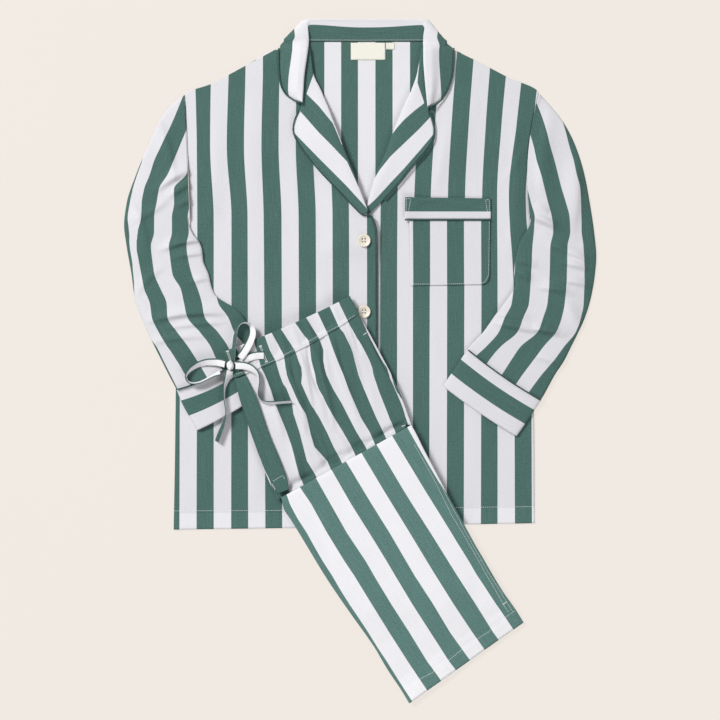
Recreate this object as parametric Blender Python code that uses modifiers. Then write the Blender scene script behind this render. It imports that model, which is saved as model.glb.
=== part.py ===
"""Pyjama set: a piped notch-collar jacket laid flat, with trousers folded and laid across it.

Plan of the set: +X to the right, +Y from the hem towards the collar, +Z up from the surface.
All tables are in millimetres. Each panel is drawn through its own stations, lines that run
from its left edge to its right edge, and is laid on whatever is already in the pile.
"""
import math

import bmesh
import bpy
import numpy as np
from mathutils import Vector

SET_NAME = "pyjama_set"

MM = 0.001
WALL = 1.0                 # a panel of cloth, mm
THICK_WALL = 1.4           # doubled or faced cloth
GAP = 0.3                  # between pieces that touch or are sewn together
PIPING_DIAMETER = 2.2
PIPING_STEP = 20.0
PIPING_OFF = PIPING_DIAMETER / 2.0 + GAP   # from an edge to the middle of its piping
SHIFT_X, SHIFT_Y = 1.8, -0.2   # brings the middle of the whole set to the origin

JACKET_AIR = 1.6           # how far a front stands off the back in its middle
SLEEVE_HEIGHT = 5.4        # flattened sleeve, floor to top
CUFF_HEIGHT = 5.8          # flattened cuff, outer side to outer side
COLLAR_FALL_STRIP = (-82.0, 92.0, 439.0, 481.0)   # the fall's place under the back neck
SLEEVE_OVER_BODY_Y = 176.0   # below this the sleeves lie on the body's sides
CUFF_PIPING_OFF = PIPING_OFF + 0.2

BODY_COLUMNS = 10          # faces across the back or a front
TUBE_SIDES = 18            # faces round a sleeve or cuff
POCKET_COLUMNS = 7
CASING_COLUMNS = 30        # fine enough for the gathers
GATHERED_COLUMNS = 34
LAYER_COLUMNS = 8

# Longest step along a panel between two of its stations, mm.
PANEL_STEP = 24.0
BACK_STEP = 48.0
FRONT_STEP = 32.0
LAYER_STEP = 36.0
LEG_STEP = 40.0
GATHERED_STEP = 22.0
PLACKET_STEP = 13.0
WAISTBAND_STEP = 12.0

BUTTON_DIAMETER = 18.0
BUTTON_THICKNESS = 3.0
BUTTON_X = 3.6
BUTTON_TOP_Y = 167.7
BUTTON_SPACING = 99.3
BUTTON_COUNT = 4
BUTTON_SIDES = 16
BUTTON_RIM = 1.6           # width of the raised rim
BUTTON_DISH = 0.9          # depth of the middle

TAPE_WIDTH = 11.0
TAPE_THICKNESS = 1.2
TAPE_REACH = 10.0
KNOT_SIZE = (15.0, 13.0, 10.0)
KNOT_AT = (-183.0, -7.0)

GREEN = (0.085, 0.180, 0.155)
DEEP_GREEN = (0.040, 0.105, 0.088)
WHITE = (0.80, 0.80, 0.83)
CREAM = (0.80, 0.78, 0.68)


def table(columns, rows):
    """Rows of numbers under named columns."""
    values = np.array(rows, float)
    return {name: values[:, place] for place, name in enumerate(columns.split())}


# Outlines, from the hem upwards -------------------------------------------------------------

PANEL_COLUMNS = "left_x left_y right_x right_y"

BACK = table(PANEL_COLUMNS, [
    (-263.0, -237.0, 245.7, -228.0),
    (-261.0, -120.0, 243.0, -110.0),
    (-259.5, 0.0, 240.0, 5.0),
    (-258.0, 60.0, 239.0, 60.0),
    (-255.0, 100.0, 238.5, 100.0),
    (-249.0, 140.0, 238.0, 140.0),
    (-240.0, 198.0, 236.8, 201.0),
    (-242.6, 265.0, 232.9, 270.0),
    (-244.0, 300.0, 234.4, 300.0),
    (-245.8, 345.0, 242.0, 348.0),
    (-246.8, 371.0, 248.0, 373.5),
    (-209.0, 388.0, 204.0, 397.0),
    (-162.0, 413.0, 156.0, 422.0),
    (-121.0, 435.0, 128.0, 435.0),
    (-98.0, 438.0, 108.0, 438.0),
    (-80.0, 446.0, 92.0, 446.0),
])

FRONT_RIGHT = table(PANEL_COLUMNS, [
    (-263.0, -237.0, 21.0, -233.0),
    (-261.0, -120.0, 21.0, -118.0),
    (-259.5, 0.0, 21.0, 0.0),
    (-258.0, 60.0, 21.0, 60.0),
    (-255.0, 100.0, 21.0, 100.0),
    (-249.0, 140.0, 21.0, 142.0),
    (-243.0, 178.0, 20.0, 180.0),
    (-240.0, 198.0, 15.0, 198.0),
    (-240.8, 215.0, 5.5, 214.0),
    (-242.6, 265.0, -13.5, 265.0),
    (-244.0, 300.0, -27.0, 300.0),
    (-245.8, 345.0, -43.5, 345.0),
    (-246.8, 371.0, -54.5, 371.0),
    (-209.0, 388.0, -62.0, 388.0),
    (-162.0, 413.0, -70.0, 413.0),
    (-121.0, 435.0, -72.5, 436.0),
])

FRONT_LEFT = table(PANEL_COLUMNS, [
    (-8.0, -232.0, 245.7, -228.0),
    (-8.0, -118.0, 243.0, -110.0),
    (-8.0, 0.0, 240.0, 5.0),
    (-8.0, 60.0, 239.0, 60.0),
    (-8.0, 100.0, 238.5, 100.0),
    (-8.0, 140.0, 238.0, 140.0),
    (-7.0, 180.0, 237.5, 180.0),
    (1.0, 200.0, 236.8, 201.0),
    (9.0, 217.0, 234.8, 220.0),
    (23.0, 265.0, 232.9, 270.0),
    (38.0, 300.0, 234.4, 300.0),
    (55.5, 345.0, 242.0, 348.0),
    (67.5, 371.0, 248.0, 373.5),
    (75.5, 388.0, 204.0, 397.0),
    (82.0, 413.0, 156.0, 422.0),
    (85.0, 436.0, 128.0, 435.0),
])

LAPEL_RIGHT = table(PANEL_COLUMNS, [
    (2.0, 203.5, 8.5, 208.0),
    (-8.0, 213.5, 6.0, 214.5),
    (-20.0, 226.0, 1.5, 226.5),
    (-43.0, 250.0, -7.5, 250.5),
    (-60.0, 268.5, -14.5, 268.5),
    (-80.0, 293.0, -24.5, 293.0),
    (-91.0, 311.0, -32.0, 313.0),
    (-94.5, 323.0, -36.0, 324.0),
    (-92.0, 337.0, -41.5, 338.0),
    (-86.5, 349.0, -45.5, 349.0),
    (-84.0, 362.0, -51.0, 362.0),
    (-88.0, 380.0, -58.5, 380.0),
    (-90.0, 400.0, -68.0, 400.0),
    (-87.0, 425.0, -71.5, 425.0),
    (-83.0, 437.0, -73.0, 437.0),
])

LAPEL_LEFT = table(PANEL_COLUMNS, [
    (8.7, 207.0, 12.5, 206.5),
    (8.7, 214.0, 20.0, 214.0),
    (11.0, 226.0, 31.5, 226.0),
    (17.8, 250.0, 53.0, 250.0),
    (25.8, 270.0, 68.5, 270.0),
    (36.0, 293.0, 89.0, 292.0),
    (43.0, 314.0, 100.5, 312.0),
    (47.0, 324.0, 101.0, 322.0),
    (52.5, 338.0, 97.5, 338.0),
    (57.5, 349.0, 94.0, 349.0),
    (63.5, 362.0, 94.0, 361.0),
    (71.5, 380.0, 98.0, 380.0),
    (78.5, 400.0, 100.0, 400.0),
    (83.0, 425.0, 99.0, 425.0),
    (85.5, 437.0, 97.0, 437.0),
])

# Across a lapel, from its free edge to its roll: share of the width, and height.
ROLL_SHARES = (0.0, 0.12, 0.34, 0.6, 0.82, 0.94, 1.0)
ROLL_HEIGHTS = (0.2, 0.5, 0.9, 1.7, 2.6, 2.5, 0.6)
NOTCH_ROW = 9              # the row of each lapel's table where the notch is
FRONT_EDGE_ROW = 6         # the last row of the right front's straight edge

POCKET = table(PANEL_COLUMNS, [
    (68.0, 104.5, 170.0, 106.5),
    (68.0, 110.0, 177.0, 112.0),
    (68.0, 120.0, 179.5, 120.0),
    (67.5, 160.0, 180.0, 160.0),
    (67.0, 195.0, 180.5, 195.0),
])

POCKET_BAND = table(PANEL_COLUMNS, [
    (60.8, 198.2, 181.0, 198.2),
    (60.8, 208.5, 181.2, 208.5),
    (61.0, 219.0, 181.0, 219.0),
    (61.2, 228.5, 180.5, 226.5),
])

LABEL = table(PANEL_COLUMNS, [
    (-15.0, 421.0, 33.5, 421.0),
    (-15.0, 445.5, 33.5, 445.5),
])

SIZE_TAB = table(PANEL_COLUMNS, [
    (34.0, 435.5, 46.0, 435.5),
    (34.0, 445.5, 46.0, 445.5),
])

# Collar: neck seam, roll edge, outermost bend and free edge of each section, from the right
# front's notch round the neck to the left front's. Where the fall passes under the back,
# tucked is 1 and its free edge lies on the floor.
COLLAR = table("seam_x seam_y roll_x roll_y bend_x bend_y edge_x edge_y tucked", [
    (-85.0, 365.0, -82.0, 360.5, -91.0, 363.5, -104.0, 371.5, 0),
    (-89.0, 380.0, -81.0, 376.0, -98.0, 379.5, -111.0, 383.5, 0),
    (-90.0, 400.0, -79.5, 398.0, -98.0, 399.0, -113.8, 399.0, 0),
    (-88.0, 424.0, -76.0, 423.0, -97.0, 424.0, -114.8, 422.0, 0),
    (-87.0, 440.0, -73.5, 444.0, -96.0, 443.0, -113.5, 441.0, 0),
    (-84.0, 445.5, -74.0, 457.0, -105.5, 453.0, -99.0, 449.0, 1),
    (-79.0, 446.5, -75.0, 467.0, -92.5, 466.0, -86.0, 449.0, 1),
    (-72.0, 446.5, -73.0, 474.0, -77.0, 477.8, -72.0, 445.0, 1),
    (-50.0, 446.5, -50.0, 475.5, -50.0, 478.4, -50.0, 441.0, 1),
    (-25.0, 446.5, -25.0, 475.0, -25.0, 478.0, -25.0, 441.0, 1),
    (0.0, 446.5, 0.0, 474.6, 0.0, 477.6, 0.0, 441.0, 1),
    (30.0, 446.5, 30.0, 474.6, 30.0, 477.6, 30.0, 441.0, 1),
    (58.0, 446.5, 60.0, 474.8, 60.0, 477.8, 58.0, 441.0, 1),
    (84.0, 446.5, 86.0, 473.5, 90.5, 477.4, 84.0, 445.0, 1),
    (93.0, 446.5, 88.0, 465.0, 107.0, 460.5, 100.0, 449.0, 1),
    (99.0, 446.0, 86.5, 455.0, 118.5, 448.0, 112.0, 447.0, 1),
    (100.0, 437.0, 86.0, 441.0, 110.0, 439.0, 128.0, 436.5, 0),
    (99.0, 422.0, 86.0, 424.0, 110.0, 424.0, 128.2, 422.0, 0),
    (98.0, 400.0, 87.5, 399.0, 109.0, 400.0, 126.5, 401.0, 0),
    (96.5, 378.0, 90.0, 373.0, 106.0, 377.0, 120.5, 379.5, 0),
    (95.0, 360.0, 92.0, 354.5, 101.0, 358.0, 112.0, 365.5, 0),
])

# Points of the collar's section: which stretch (0 seam to roll, 1 roll to bend, 2 bend to
# edge), how far along it and how high, where the fall lies on top and where it is tucked under.
COLLAR_SECTION = table("stretch on_top on_top_height under under_height", [
    (0, 0.00, 0.8, 0.00, 2.3), (0, 0.50, 1.6, 0.50, 5.2), (0, 1.00, 3.8, 1.00, 8.4),
    (1, 0.14, 6.2, 0.30, 8.8), (1, 0.45, 6.8, 0.75, 7.8),
    (2, 0.00, 4.8, 0.00, 5.0), (2, 0.35, 3.4, 0.05, 1.7), (2, 0.70, 2.0, 0.35, 0.5),
    (2, 1.00, 0.8, 1.00, 0.5),
])
COLLAR_STEP = 15.0
COLLAR_FRONT_ROWS = 5      # rows at each end of the collar's table that lie on the fronts

# Sleeves and cuffs: each row is a section across the flattened tube. bow is how far the
# section's middle hangs towards the cuff.
TUBE_COLUMNS = "left_x left_y right_x right_y bow"

SLEEVE_RIGHT = table(TUBE_COLUMNS, [
    (-247.5, 372.0, -240.6, 198.0, 0.0),
    (-262.0, 362.0, -241.0, 196.5, 2.0),
    (-280.0, 340.0, -241.5, 194.0, 4.0),
    (-299.0, 300.0, -241.0, 189.0, 5.0),
    (-316.0, 260.0, -238.5, 183.0, 4.0),
    (-329.0, 220.0, -234.0, 175.0, 2.0),
    (-332.5, 190.0, -228.0, 168.0, 0.0),
    (-329.0, 160.0, -222.8, 154.0, 0.0),
    (-325.5, 140.0, -221.5, 140.0, 0.0),
    (-322.0, 120.0, -214.0, 121.0, 0.0),
    (-319.5, 100.0, -209.5, 102.0, 0.0),
    (-316.0, 80.0, -203.0, 90.0, 0.0),
    (-308.0, 60.0, -190.0, 81.0, 0.0),
    (-299.5, 40.0, -178.0, 74.0, 1.0),
    (-290.0, 20.0, -166.0, 62.5, 3.0),
    (-280.0, 0.0, -159.0, 49.5, 5.0),
    (-270.0, -20.0, -153.0, 36.0, 7.0),
    (-258.6, -41.1, -147.2, 20.2, 8.0),
])

SLEEVE_LEFT = table(TUBE_COLUMNS, [
    (237.6, 201.0, 249.0, 374.0, -9.0),
    (238.5, 199.0, 262.0, 360.0, -6.0),
    (239.0, 196.0, 282.0, 335.0, -2.0),
    (237.0, 191.0, 300.0, 300.0, 2.0),
    (233.0, 184.5, 312.5, 260.0, 3.0),
    (228.0, 177.0, 320.0, 220.0, 2.0),
    (221.0, 164.0, 326.0, 180.0, 0.0),
    (216.0, 144.0, 329.0, 145.0, 0.0),
    (213.5, 122.0, 327.0, 120.0, 0.0),
    (215.0, 106.0, 324.0, 100.0, 0.0),
    (208.0, 92.0, 319.5, 80.0, 0.0),
    (198.0, 78.0, 313.0, 60.0, 0.0),
    (188.0, 65.0, 304.0, 40.0, 0.0),
    (178.0, 50.5, 294.0, 20.0, 0.0),
    (168.0, 37.0, 284.0, 0.0, 0.0),
    (158.0, 27.5, 271.0, -20.0, 0.0),
    (148.1, 15.4, 251.5, -56.0, 0.0),
])

CUFF_RIGHT = table(TUBE_COLUMNS, [
    (-258.4, -41.5, -147.0, 19.8, 8.0),
    (-252.0, -58.0, -140.0, 3.0, 7.0),
    (-241.0, -78.5, -131.0, -16.0, 5.0),
    (-230.0, -98.0, -122.0, -34.0, 3.0),
])

CUFF_LEFT = table(TUBE_COLUMNS, [
    (147.8, 15.0, 251.2, -56.4, 0.0),
    (136.5, -2.0, 240.0, -73.0, 0.0),
    (125.0, -19.0, 228.5, -89.5, 0.0),
    (114.0, -36.0, 217.0, -106.0, 0.0),
])

# Trousers: hidden layers, then what shows.
HIDDEN_LAYERS = table("left_x left_y right_x right_y thick", [
    (64.5, -475.5, 225.0, -366.0, 2.8),
    (54.5, -456.0, 215.0, -348.5, 3.0),
    (40.0, -429.5, 202.5, -325.5, 3.0),
    (24.0, -403.0, 186.0, -296.5, 3.2),
    (12.5, -388.0, 177.0, -281.0, 4.5),
    (5.5, -379.5, 171.5, -271.5, 8.4),
    (-6.0, -363.0, 163.5, -257.5, 9.4),
    (-27.0, -330.0, 144.5, -224.5, 9.6),
    (-50.0, -298.5, 126.0, -192.0, 9.6),
    (-74.0, -259.0, 106.5, -158.0, 9.6),
    (-97.0, -222.5, 86.0, -122.5, 9.6),
    (-107.5, -205.0, 75.0, -102.5, 9.6),
    (-109.0, -195.5, 71.0, -96.0, 9.0),
    (-110.0, -192.3, 69.6, -94.4, 4.2),
    (-112.5, -187.5, 68.5, -90.0, 3.2),
    (-133.0, -151.5, 62.5, -76.0, 3.2),
    (-151.0, -102.5, 45.5, -35.0, 3.2),
    (-167.0, -55.0, 25.0, 5.5, 3.2),
    (-174.5, -24.5, 7.5, 40.5, 3.0),
    (-188.0, 9.5, -19.0, 83.5, 2.6),
])
FOLD_ROW = 13              # the row of HIDDEN_LAYERS where the leg is folded over
LAYER_COUNT = 4            # plies that show round the edge
LAYER_GROOVE = 0.9

BOWED_COLUMNS = "left_x left_y right_x right_y bow"

LEG_LOWER = table(BOWED_COLUMNS, [
    (67.0, -478.8, 228.5, -367.5, 0.0),
    (56.0, -459.5, 217.5, -349.0, 0.0),
    (41.5, -432.0, 204.5, -326.0, 0.0),
    (20.5, -400.5, 187.0, -294.5, 0.0),
    (8.0, -381.5, 176.0, -275.0, 0.0),
    (-8.0, -362.5, 165.5, -256.5, 0.0),
    (-29.0, -329.5, 147.0, -224.0, 0.0),
    (-52.0, -298.5, 128.5, -191.5, 0.0),
    (-75.5, -259.5, 109.0, -157.5, 0.0),
    (-99.0, -222.5, 88.5, -121.5, 0.0),
    (-109.5, -205.0, 77.0, -101.5, 0.0),
])

LEG_SHARES = (0.0, 0.012, 0.045, 0.16, 0.3, 0.44, 0.57, 0.7, 0.84, 0.955, 0.988, 1.0)
LEG_SIDE_SHARES = (0.0, 0.012, 0.045)
LEG_SIDE_DROPS = (-1.2, 0.0, 0.0)

# The folded top end of the leg: its corners, and how the cloth turns down there, as the
# distance in from the fold and the share of the full height.
FOLD_TOP = (-112.2, -190.8, 71.5, -90.9)
FOLD_ROUNDING = ((5.0, 1.0), (1.6, 0.93), (0.4, 0.6), (0.0, 0.0))
FOLD_DROP = 2.6
FOLD_MARGIN = 2.0

LEG_UPPER = table(BOWED_COLUMNS, [
    (-113.5, -185.0, 64.0, -89.5, 0.0),
    (-135.0, -152.0, 59.5, -78.0, 0.0),
    (-152.5, -103.0, 42.5, -34.5, 0.0),
    (-168.5, -55.0, 21.5, 6.0, 3.0),
    (-176.2, -24.8, -4.4, 63.2, 7.0),
])

WAISTBAND = table(BOWED_COLUMNS, [
    (-176.4, -23.9, -4.2, 64.2, 7.0),
    (-183.0, -6.0, -10.5, 76.5, 5.0),
    (-190.0, 12.0, -17.0, 87.8, 3.0),
])

PLACKET = table(BOWED_COLUMNS, [
    (-116.0, -183.0, -101.5, -178.0, 0.0),
    (-122.0, -175.5, -102.5, -170.0, 0.0),
    (-135.0, -152.5, -108.8, -150.0, 0.0),
    (-152.0, -103.0, -129.0, -101.0, 0.0),
    (-168.0, -56.0, -145.5, -53.0, 0.0),
    (-175.8, -26.0, -159.5, -19.5, 0.0),
])

SIDE_POCKET = table(BOWED_COLUMNS, [
    (58.5, -89.5, 70.5, -90.5, 0.0),
    (37.0, -34.0, 48.0, -32.5, 0.0),
    (14.0, 10.0, 26.0, 10.5, 0.0),
    (-1.5, 40.0, 9.5, 41.0, 0.0),
    (-12.0, 60.5, -3.5, 63.0, 0.0),
])

# Soft folds of the cloth: a ridge or trough runs from start to end.
FOLD_COLUMNS = "start_x start_y end_x end_y height half_width"

GATHERS = table(FOLD_COLUMNS, [
    (-142.0, -5.0, -110.0, -105.0, 2.4, 6.0),
    (-118.0, 4.0, -92.0, -75.0, 3.0, 5.5),
    (-104.0, 10.0, -72.0, -125.0, 3.2, 6.5),
    (-90.0, 16.0, -84.0, -45.0, 2.8, 5.0),
    (-74.0, 22.0, -44.0, -118.0, 3.4, 6.5),
    (-58.0, 30.0, -48.0, -35.0, 3.0, 5.0),
    (-45.0, 38.0, -2.0, -88.0, 3.0, 6.0),
    (-30.0, 46.0, -8.0, -30.0, 2.6, 5.0),
    (-17.0, 54.0, 20.0, -70.0, 2.2, 5.5),
    (-92.0, -120.0, -84.0, -160.0, 2.2, 6.0),
])

CASING_GATHERS = table(FOLD_COLUMNS, [
    (-168.0, -14.0, -176.0, 12.0, 1.0, 4.5),
    (-146.0, -6.0, -156.0, 24.0, 1.2, 4.5),
    (-122.0, 3.0, -134.0, 33.0, 1.3, 4.5),
    (-102.0, 12.0, -114.0, 42.0, 1.5, 4.5),
    (-84.0, 20.0, -97.0, 50.0, 1.3, 4.5),
    (-66.0, 29.0, -79.0, 58.0, 1.5, 4.5),
    (-47.0, 38.0, -60.0, 66.0, 1.3, 4.5),
    (-28.0, 48.0, -40.0, 75.0, 1.2, 4.5),
    (-13.0, 56.0, -24.0, 82.0, 0.9, 4.5),
])

SLEEVE_RIGHT_FOLDS = table(FOLD_COLUMNS, [
    (-272.0, 148.0, -224.0, 162.0, 1.8, 7.0),
    (-262.0, 158.0, -226.0, 172.0, -1.2, 6.0),
    (-300.0, 66.0, -196.0, 64.0, 1.6, 8.0),
    (-290.0, 52.0, -200.0, 50.0, -1.0, 7.0),
    (-262.0, 236.0, -241.0, 262.0, 1.6, 7.0),
    (-320.0, 214.0, -300.0, 150.0, 1.2, 12.0),
    (-285.0, 330.0, -262.0, 240.0, 1.4, 12.0),
])

SLEEVE_LEFT_FOLDS = table(FOLD_COLUMNS, [
    (240.0, 206.0, 272.0, 190.0, 2.2, 6.0),
    (238.0, 190.0, 270.0, 180.0, -1.3, 6.0),
    (285.0, 152.0, 316.0, 132.0, 1.6, 8.0),
    (268.0, 102.0, 314.0, 98.0, 1.2, 8.0),
    (196.0, 50.0, 272.0, 38.0, 1.8, 7.0),
    (206.0, 38.0, 262.0, 28.0, -1.0, 6.0),
    (262.0, 340.0, 252.0, 240.0, 1.4, 12.0),
    (300.0, 285.0, 296.0, 190.0, 1.2, 12.0),
])

FRONT_RIGHT_FOLDS = table(FOLD_COLUMNS, [
    (-205.0, 330.0, -215.0, 190.0, 1.6, 16.0),
    (-150.0, 380.0, -150.0, 120.0, 1.2, 22.0),
    (-96.0, 290.0, -90.0, 90.0, 1.2, 18.0),
    (-150.0, -90.0, -150.0, -190.0, 1.2, 16.0),
])

FRONT_LEFT_FOLDS = table(FOLD_COLUMNS, [
    (214.0, 330.0, 205.0, 150.0, 1.8, 14.0),
    (150.0, 380.0, 132.0, 240.0, 1.2, 18.0),
    (118.0, 340.0, 104.0, 240.0, 1.6, 12.0),
    (150.0, 90.0, 150.0, -190.0, 1.2, 24.0),
])

LEG_LOWER_FOLDS = table(FOLD_COLUMNS, [
    (-60.0, -205.0, 40.0, -395.0, 0.9, 18.0),
    (30.0, -175.0, 130.0, -350.0, 0.8, 20.0),
])

# Drawstring: centreline of each stretch. lift is the height of the centreline over what lies
# under it, and tilt how far the tape is turned on its edge, in degrees.
TAPE_COLUMNS = "x y lift tilt"

STRAND_IN = table(TAPE_COLUMNS, [
    (-136.0, 7.5, 0.7, 0.0), (-143.0, 7.5, 0.8, 3.0), (-150.0, 6.5, 1.3, 6.0),
    (-157.0, 4.0, 1.8, 6.0), (-164.0, 0.5, 2.3, 4.0), (-170.0, -2.5, 2.8, 0.0),
    (-175.9, -5.3, 3.2, 0.0),
])
LOOP_UP = table(TAPE_COLUMNS, [
    (-179.0, 0.3, 6.4, 60.0), (-178.0, 11.0, 7.0, 75.0), (-177.3, 22.0, 7.4, 80.0),
    (-176.5, 32.0, 7.4, 85.0), (-174.5, 42.0, 7.2, 90.0), (-170.5, 49.5, 7.0, 90.0),
    (-164.5, 53.0, 7.0, 90.0), (-158.0, 52.0, 7.0, 75.0), (-153.5, 47.0, 6.6, 50.0),
    (-152.0, 39.0, 6.2, 30.0), (-154.0, 30.0, 5.8, 20.0), (-158.5, 20.0, 5.6, 12.0),
    (-164.0, 11.0, 5.4, 4.0), (-170.0, 3.4, 5.2, 0.0),
])
LOOP_LEFT = table(TAPE_COLUMNS, [
    (-190.2, -4.6, 7.0, -10.0), (-202.0, -2.0, 6.6, -20.0), (-213.0, -2.0, 6.2, -30.0),
    (-224.0, -4.0, 6.0, -45.0), (-234.0, -9.0, 6.0, -60.0), (-241.5, -15.5, 6.0, -80.0),
    (-245.5, -22.5, 6.0, -90.0), (-243.0, -29.0, 6.0, -95.0), (-235.5, -32.0, 6.0, -100.0),
    (-226.0, -30.5, 6.0, -110.0), (-216.0, -26.0, 5.8, -125.0), (-206.0, -20.5, 5.6, -140.0),
    (-197.0, -17.0, 6.0, -150.0),
])
TAIL_RIGHT = table(TAPE_COLUMNS, [
    (-175.3, -6.5, 7.4, 0.0), (-165.5, -6.8, 7.2, 8.0), (-156.5, -9.0, 6.8, 20.0),
    (-149.5, -13.5, 6.4, 40.0), (-144.5, -20.0, 6.2, 65.0), (-142.5, -28.0, 5.9, 85.0),
    (-143.5, -37.0, 5.7, 90.0), (-144.8, -46.0, 5.5, 90.0), (-142.0, -53.5, 5.5, 90.0),
    (-135.5, -58.0, 5.5, 90.0), (-127.0, -59.0, 5.5, 90.0), (-117.0, -58.4, 5.5, 90.0),
    (-107.0, -57.6, 5.5, 90.0), (-97.5, -57.0, 5.5, 90.0),
])
TAIL_LEFT = table(TAPE_COLUMNS, [
    (-184.0, -14.0, 4.6, 10.0), (-187.0, -24.0, 5.2, 40.0), (-190.0, -32.0, 5.5, 60.0),
    (-191.8, -41.0, 5.7, 80.0), (-191.8, -51.0, 5.7, 90.0), (-190.4, -61.0, 5.7, 90.0),
    (-189.4, -71.0, 5.7, 90.0), (-190.6, -81.0, 5.7, 90.0), (-194.0, -91.0, 5.7, 90.0),
    (-198.4, -102.0, 5.7, 90.0), (-202.5, -113.0, 5.7, 90.0),
])


# Scene ---------------------------------------------------------------------------------------

def clear_scene():
    for item in list(bpy.data.objects):
        bpy.data.objects.remove(item, do_unlink=True)


def finish_of(name, colour, roughness):
    """The piece's own material."""
    material = bpy.data.materials.new(name)
    material.use_nodes = True
    shader = material.node_tree.nodes["Principled BSDF"]
    shader.inputs["Base Color"].default_value = (*colour, 1.0)
    shader.inputs["Roughness"].default_value = roughness
    shader.inputs["Metallic"].default_value = 0.0
    return material


def add_piece(name, data, colour, roughness=0.85):
    """Puts a mesh or curve in the set's collection, under its own name and material."""
    piece = bpy.data.objects.new(name, data)
    data.materials.append(finish_of(name, colour, roughness))
    bpy.data.collections[SET_NAME].objects.link(piece)
    return piece


def placed(points):
    """Plan points in mm to places in metres about the set's own origin."""
    return (np.asarray(points, float) + (SHIFT_X, SHIFT_Y, 0.0)) * MM


# Pile ----------------------------------------------------------------------------------------

class Pile:
    """Top height of all that is laid down so far, in mm, over a plan of square cells.
    The bare surface counts as one gap low, so that cloth lies flat on it."""

    CELL = 3.0
    HALF_X, HALF_Y = 360.0, 510.0
    SAMPLES = 14
    SOFTNESS = 0.25

    def __init__(self):
        shape = (int(2 * self.HALF_X / self.CELL), int(2 * self.HALF_Y / self.CELL))
        self.top = np.full(shape, -GAP)

    def copy(self):
        other = Pile()
        other.top = self.top.copy()
        return other

    def cell_of(self, x, y):
        column = (np.asarray(x) + self.HALF_X) / self.CELL
        row = (np.asarray(y) + self.HALF_Y) / self.CELL
        return column, row

    def raise_strip(self, left, right, low, high, height):
        """Keeps room for something flat that is put there later."""
        first, start = self.cell_of(left, low)
        last, end = self.cell_of(right, high)
        strip = self.top[int(first):int(last) + 1, int(start):int(end) + 1]
        np.maximum(strip, height, out=strip)

    def lay(self, piece, keep=None):
        """Adds a finished piece, or only its triangles that keep(x, y) lets through."""
        bpy.context.view_layer.update()
        mesh = piece.evaluated_get(bpy.context.evaluated_depsgraph_get()).to_mesh()
        mesh.calc_loop_triangles()
        corners = np.array([piece.matrix_world @ corner.co for corner in mesh.vertices]) / MM
        corners -= (SHIFT_X, SHIFT_Y, 0.0)
        triangles = corners[np.array([face.vertices[:] for face in mesh.loop_triangles])]
        if keep is not None:
            middle = triangles.mean(axis=1)
            triangles = triangles[keep(middle[:, 0], middle[:, 1])]
        first, second = np.meshgrid(np.arange(self.SAMPLES + 1), np.arange(self.SAMPLES + 1))
        inside = first + second <= self.SAMPLES
        shares = np.stack([first[inside], second[inside], (self.SAMPLES - first - second)[inside]])
        spots = np.einsum("sn,tsk->tnk", shares / self.SAMPLES, triangles).reshape(-1, 3)
        column, row = self.cell_of(spots[:, 0], spots[:, 1])
        np.maximum.at(self.top, (column.astype(int), row.astype(int)), spots[:, 2])

    def level(self, x, y, reach):
        """Height at plan points that clears everything within reach, softened like cloth."""
        soft = max(1, int(round(self.SOFTNESS * reach / self.CELL)))
        wide = int(math.ceil(reach / self.CELL)) + soft + 1
        heights = self.top
        for axis in (0, 1):
            moved = [np.roll(heights, step, axis) for step in range(-wide, wide + 1)]
            heights = np.max(moved, axis=0)
        for axis in (0, 1):
            moved = [np.roll(heights, step, axis) for step in range(-soft, soft + 1)]
            heights = np.mean(moved, axis=0)
        column, row = self.cell_of(x, y)
        column, row = column - 0.5, row - 0.5
        low_column, low_row = np.floor(column).astype(int), np.floor(row).astype(int)
        over, up = column - low_column, row - low_row
        return (heights[low_column, low_row] * (1 - over) * (1 - up)
                + heights[low_column + 1, low_row] * over * (1 - up)
                + heights[low_column, low_row + 1] * (1 - over) * up
                + heights[low_column + 1, low_row + 1] * over * up)


def fold_height(x, y, folds):
    """Height that soft folds add at plan points; each fades towards its two ends."""
    total = np.zeros_like(x)
    if folds is None:
        return total
    for start_x, start_y, end_x, end_y, height, half_width in zip(*folds.values()):
        run_x, run_y = end_x - start_x, end_y - start_y
        along = ((x - start_x) * run_x + (y - start_y) * run_y) / (run_x ** 2 + run_y ** 2)
        held = np.clip(along, 0.0, 1.0)
        away = np.hypot(x - start_x - held * run_x, y - start_y - held * run_y)
        fade = 0.25 + 0.75 * np.sin(math.pi * held) ** 0.6
        total += height * fade * np.exp(-((away / half_width) ** 2))
    return total


# Building methods ----------------------------------------------------------------------------

def refined(rows, step):
    """Adds evenly spaced rows between a table's rows, so that none is further apart than step."""
    values = np.array(list(rows.values())).T
    result = [values[0]]
    for before, after in zip(values[:-1], values[1:]):
        move = max(np.hypot(*(after - before)[0:2]), np.hypot(*(after - before)[2:4]))
        pieces = max(1, math.ceil(move / step))
        for piece in range(1, pieces + 1):
            result.append(before + (after - before) * piece / pieces)
    return {name: np.array(result)[:, place] for place, name in enumerate(rows)}


def across_stations(rows, shares):
    """Plan points, [station][share], along each station from its left end to its right end."""
    shares = np.asarray(shares)[None, :]
    left_x, left_y = rows["left_x"][:, None], rows["left_y"][:, None]
    right_x, right_y = rows["right_x"][:, None], rows["right_y"][:, None]
    x = left_x + (right_x - left_x) * shares
    y = left_y + (right_y - left_y) * shares
    if "bow" in rows:
        length = np.hypot(right_x - left_x, right_y - left_y)
        hang = rows["bow"][:, None] * 4.0 * shares * (1.0 - shares)
        x += hang * (right_y - left_y) / length
        y -= hang * (right_x - left_x) / length
    return x, y


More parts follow.
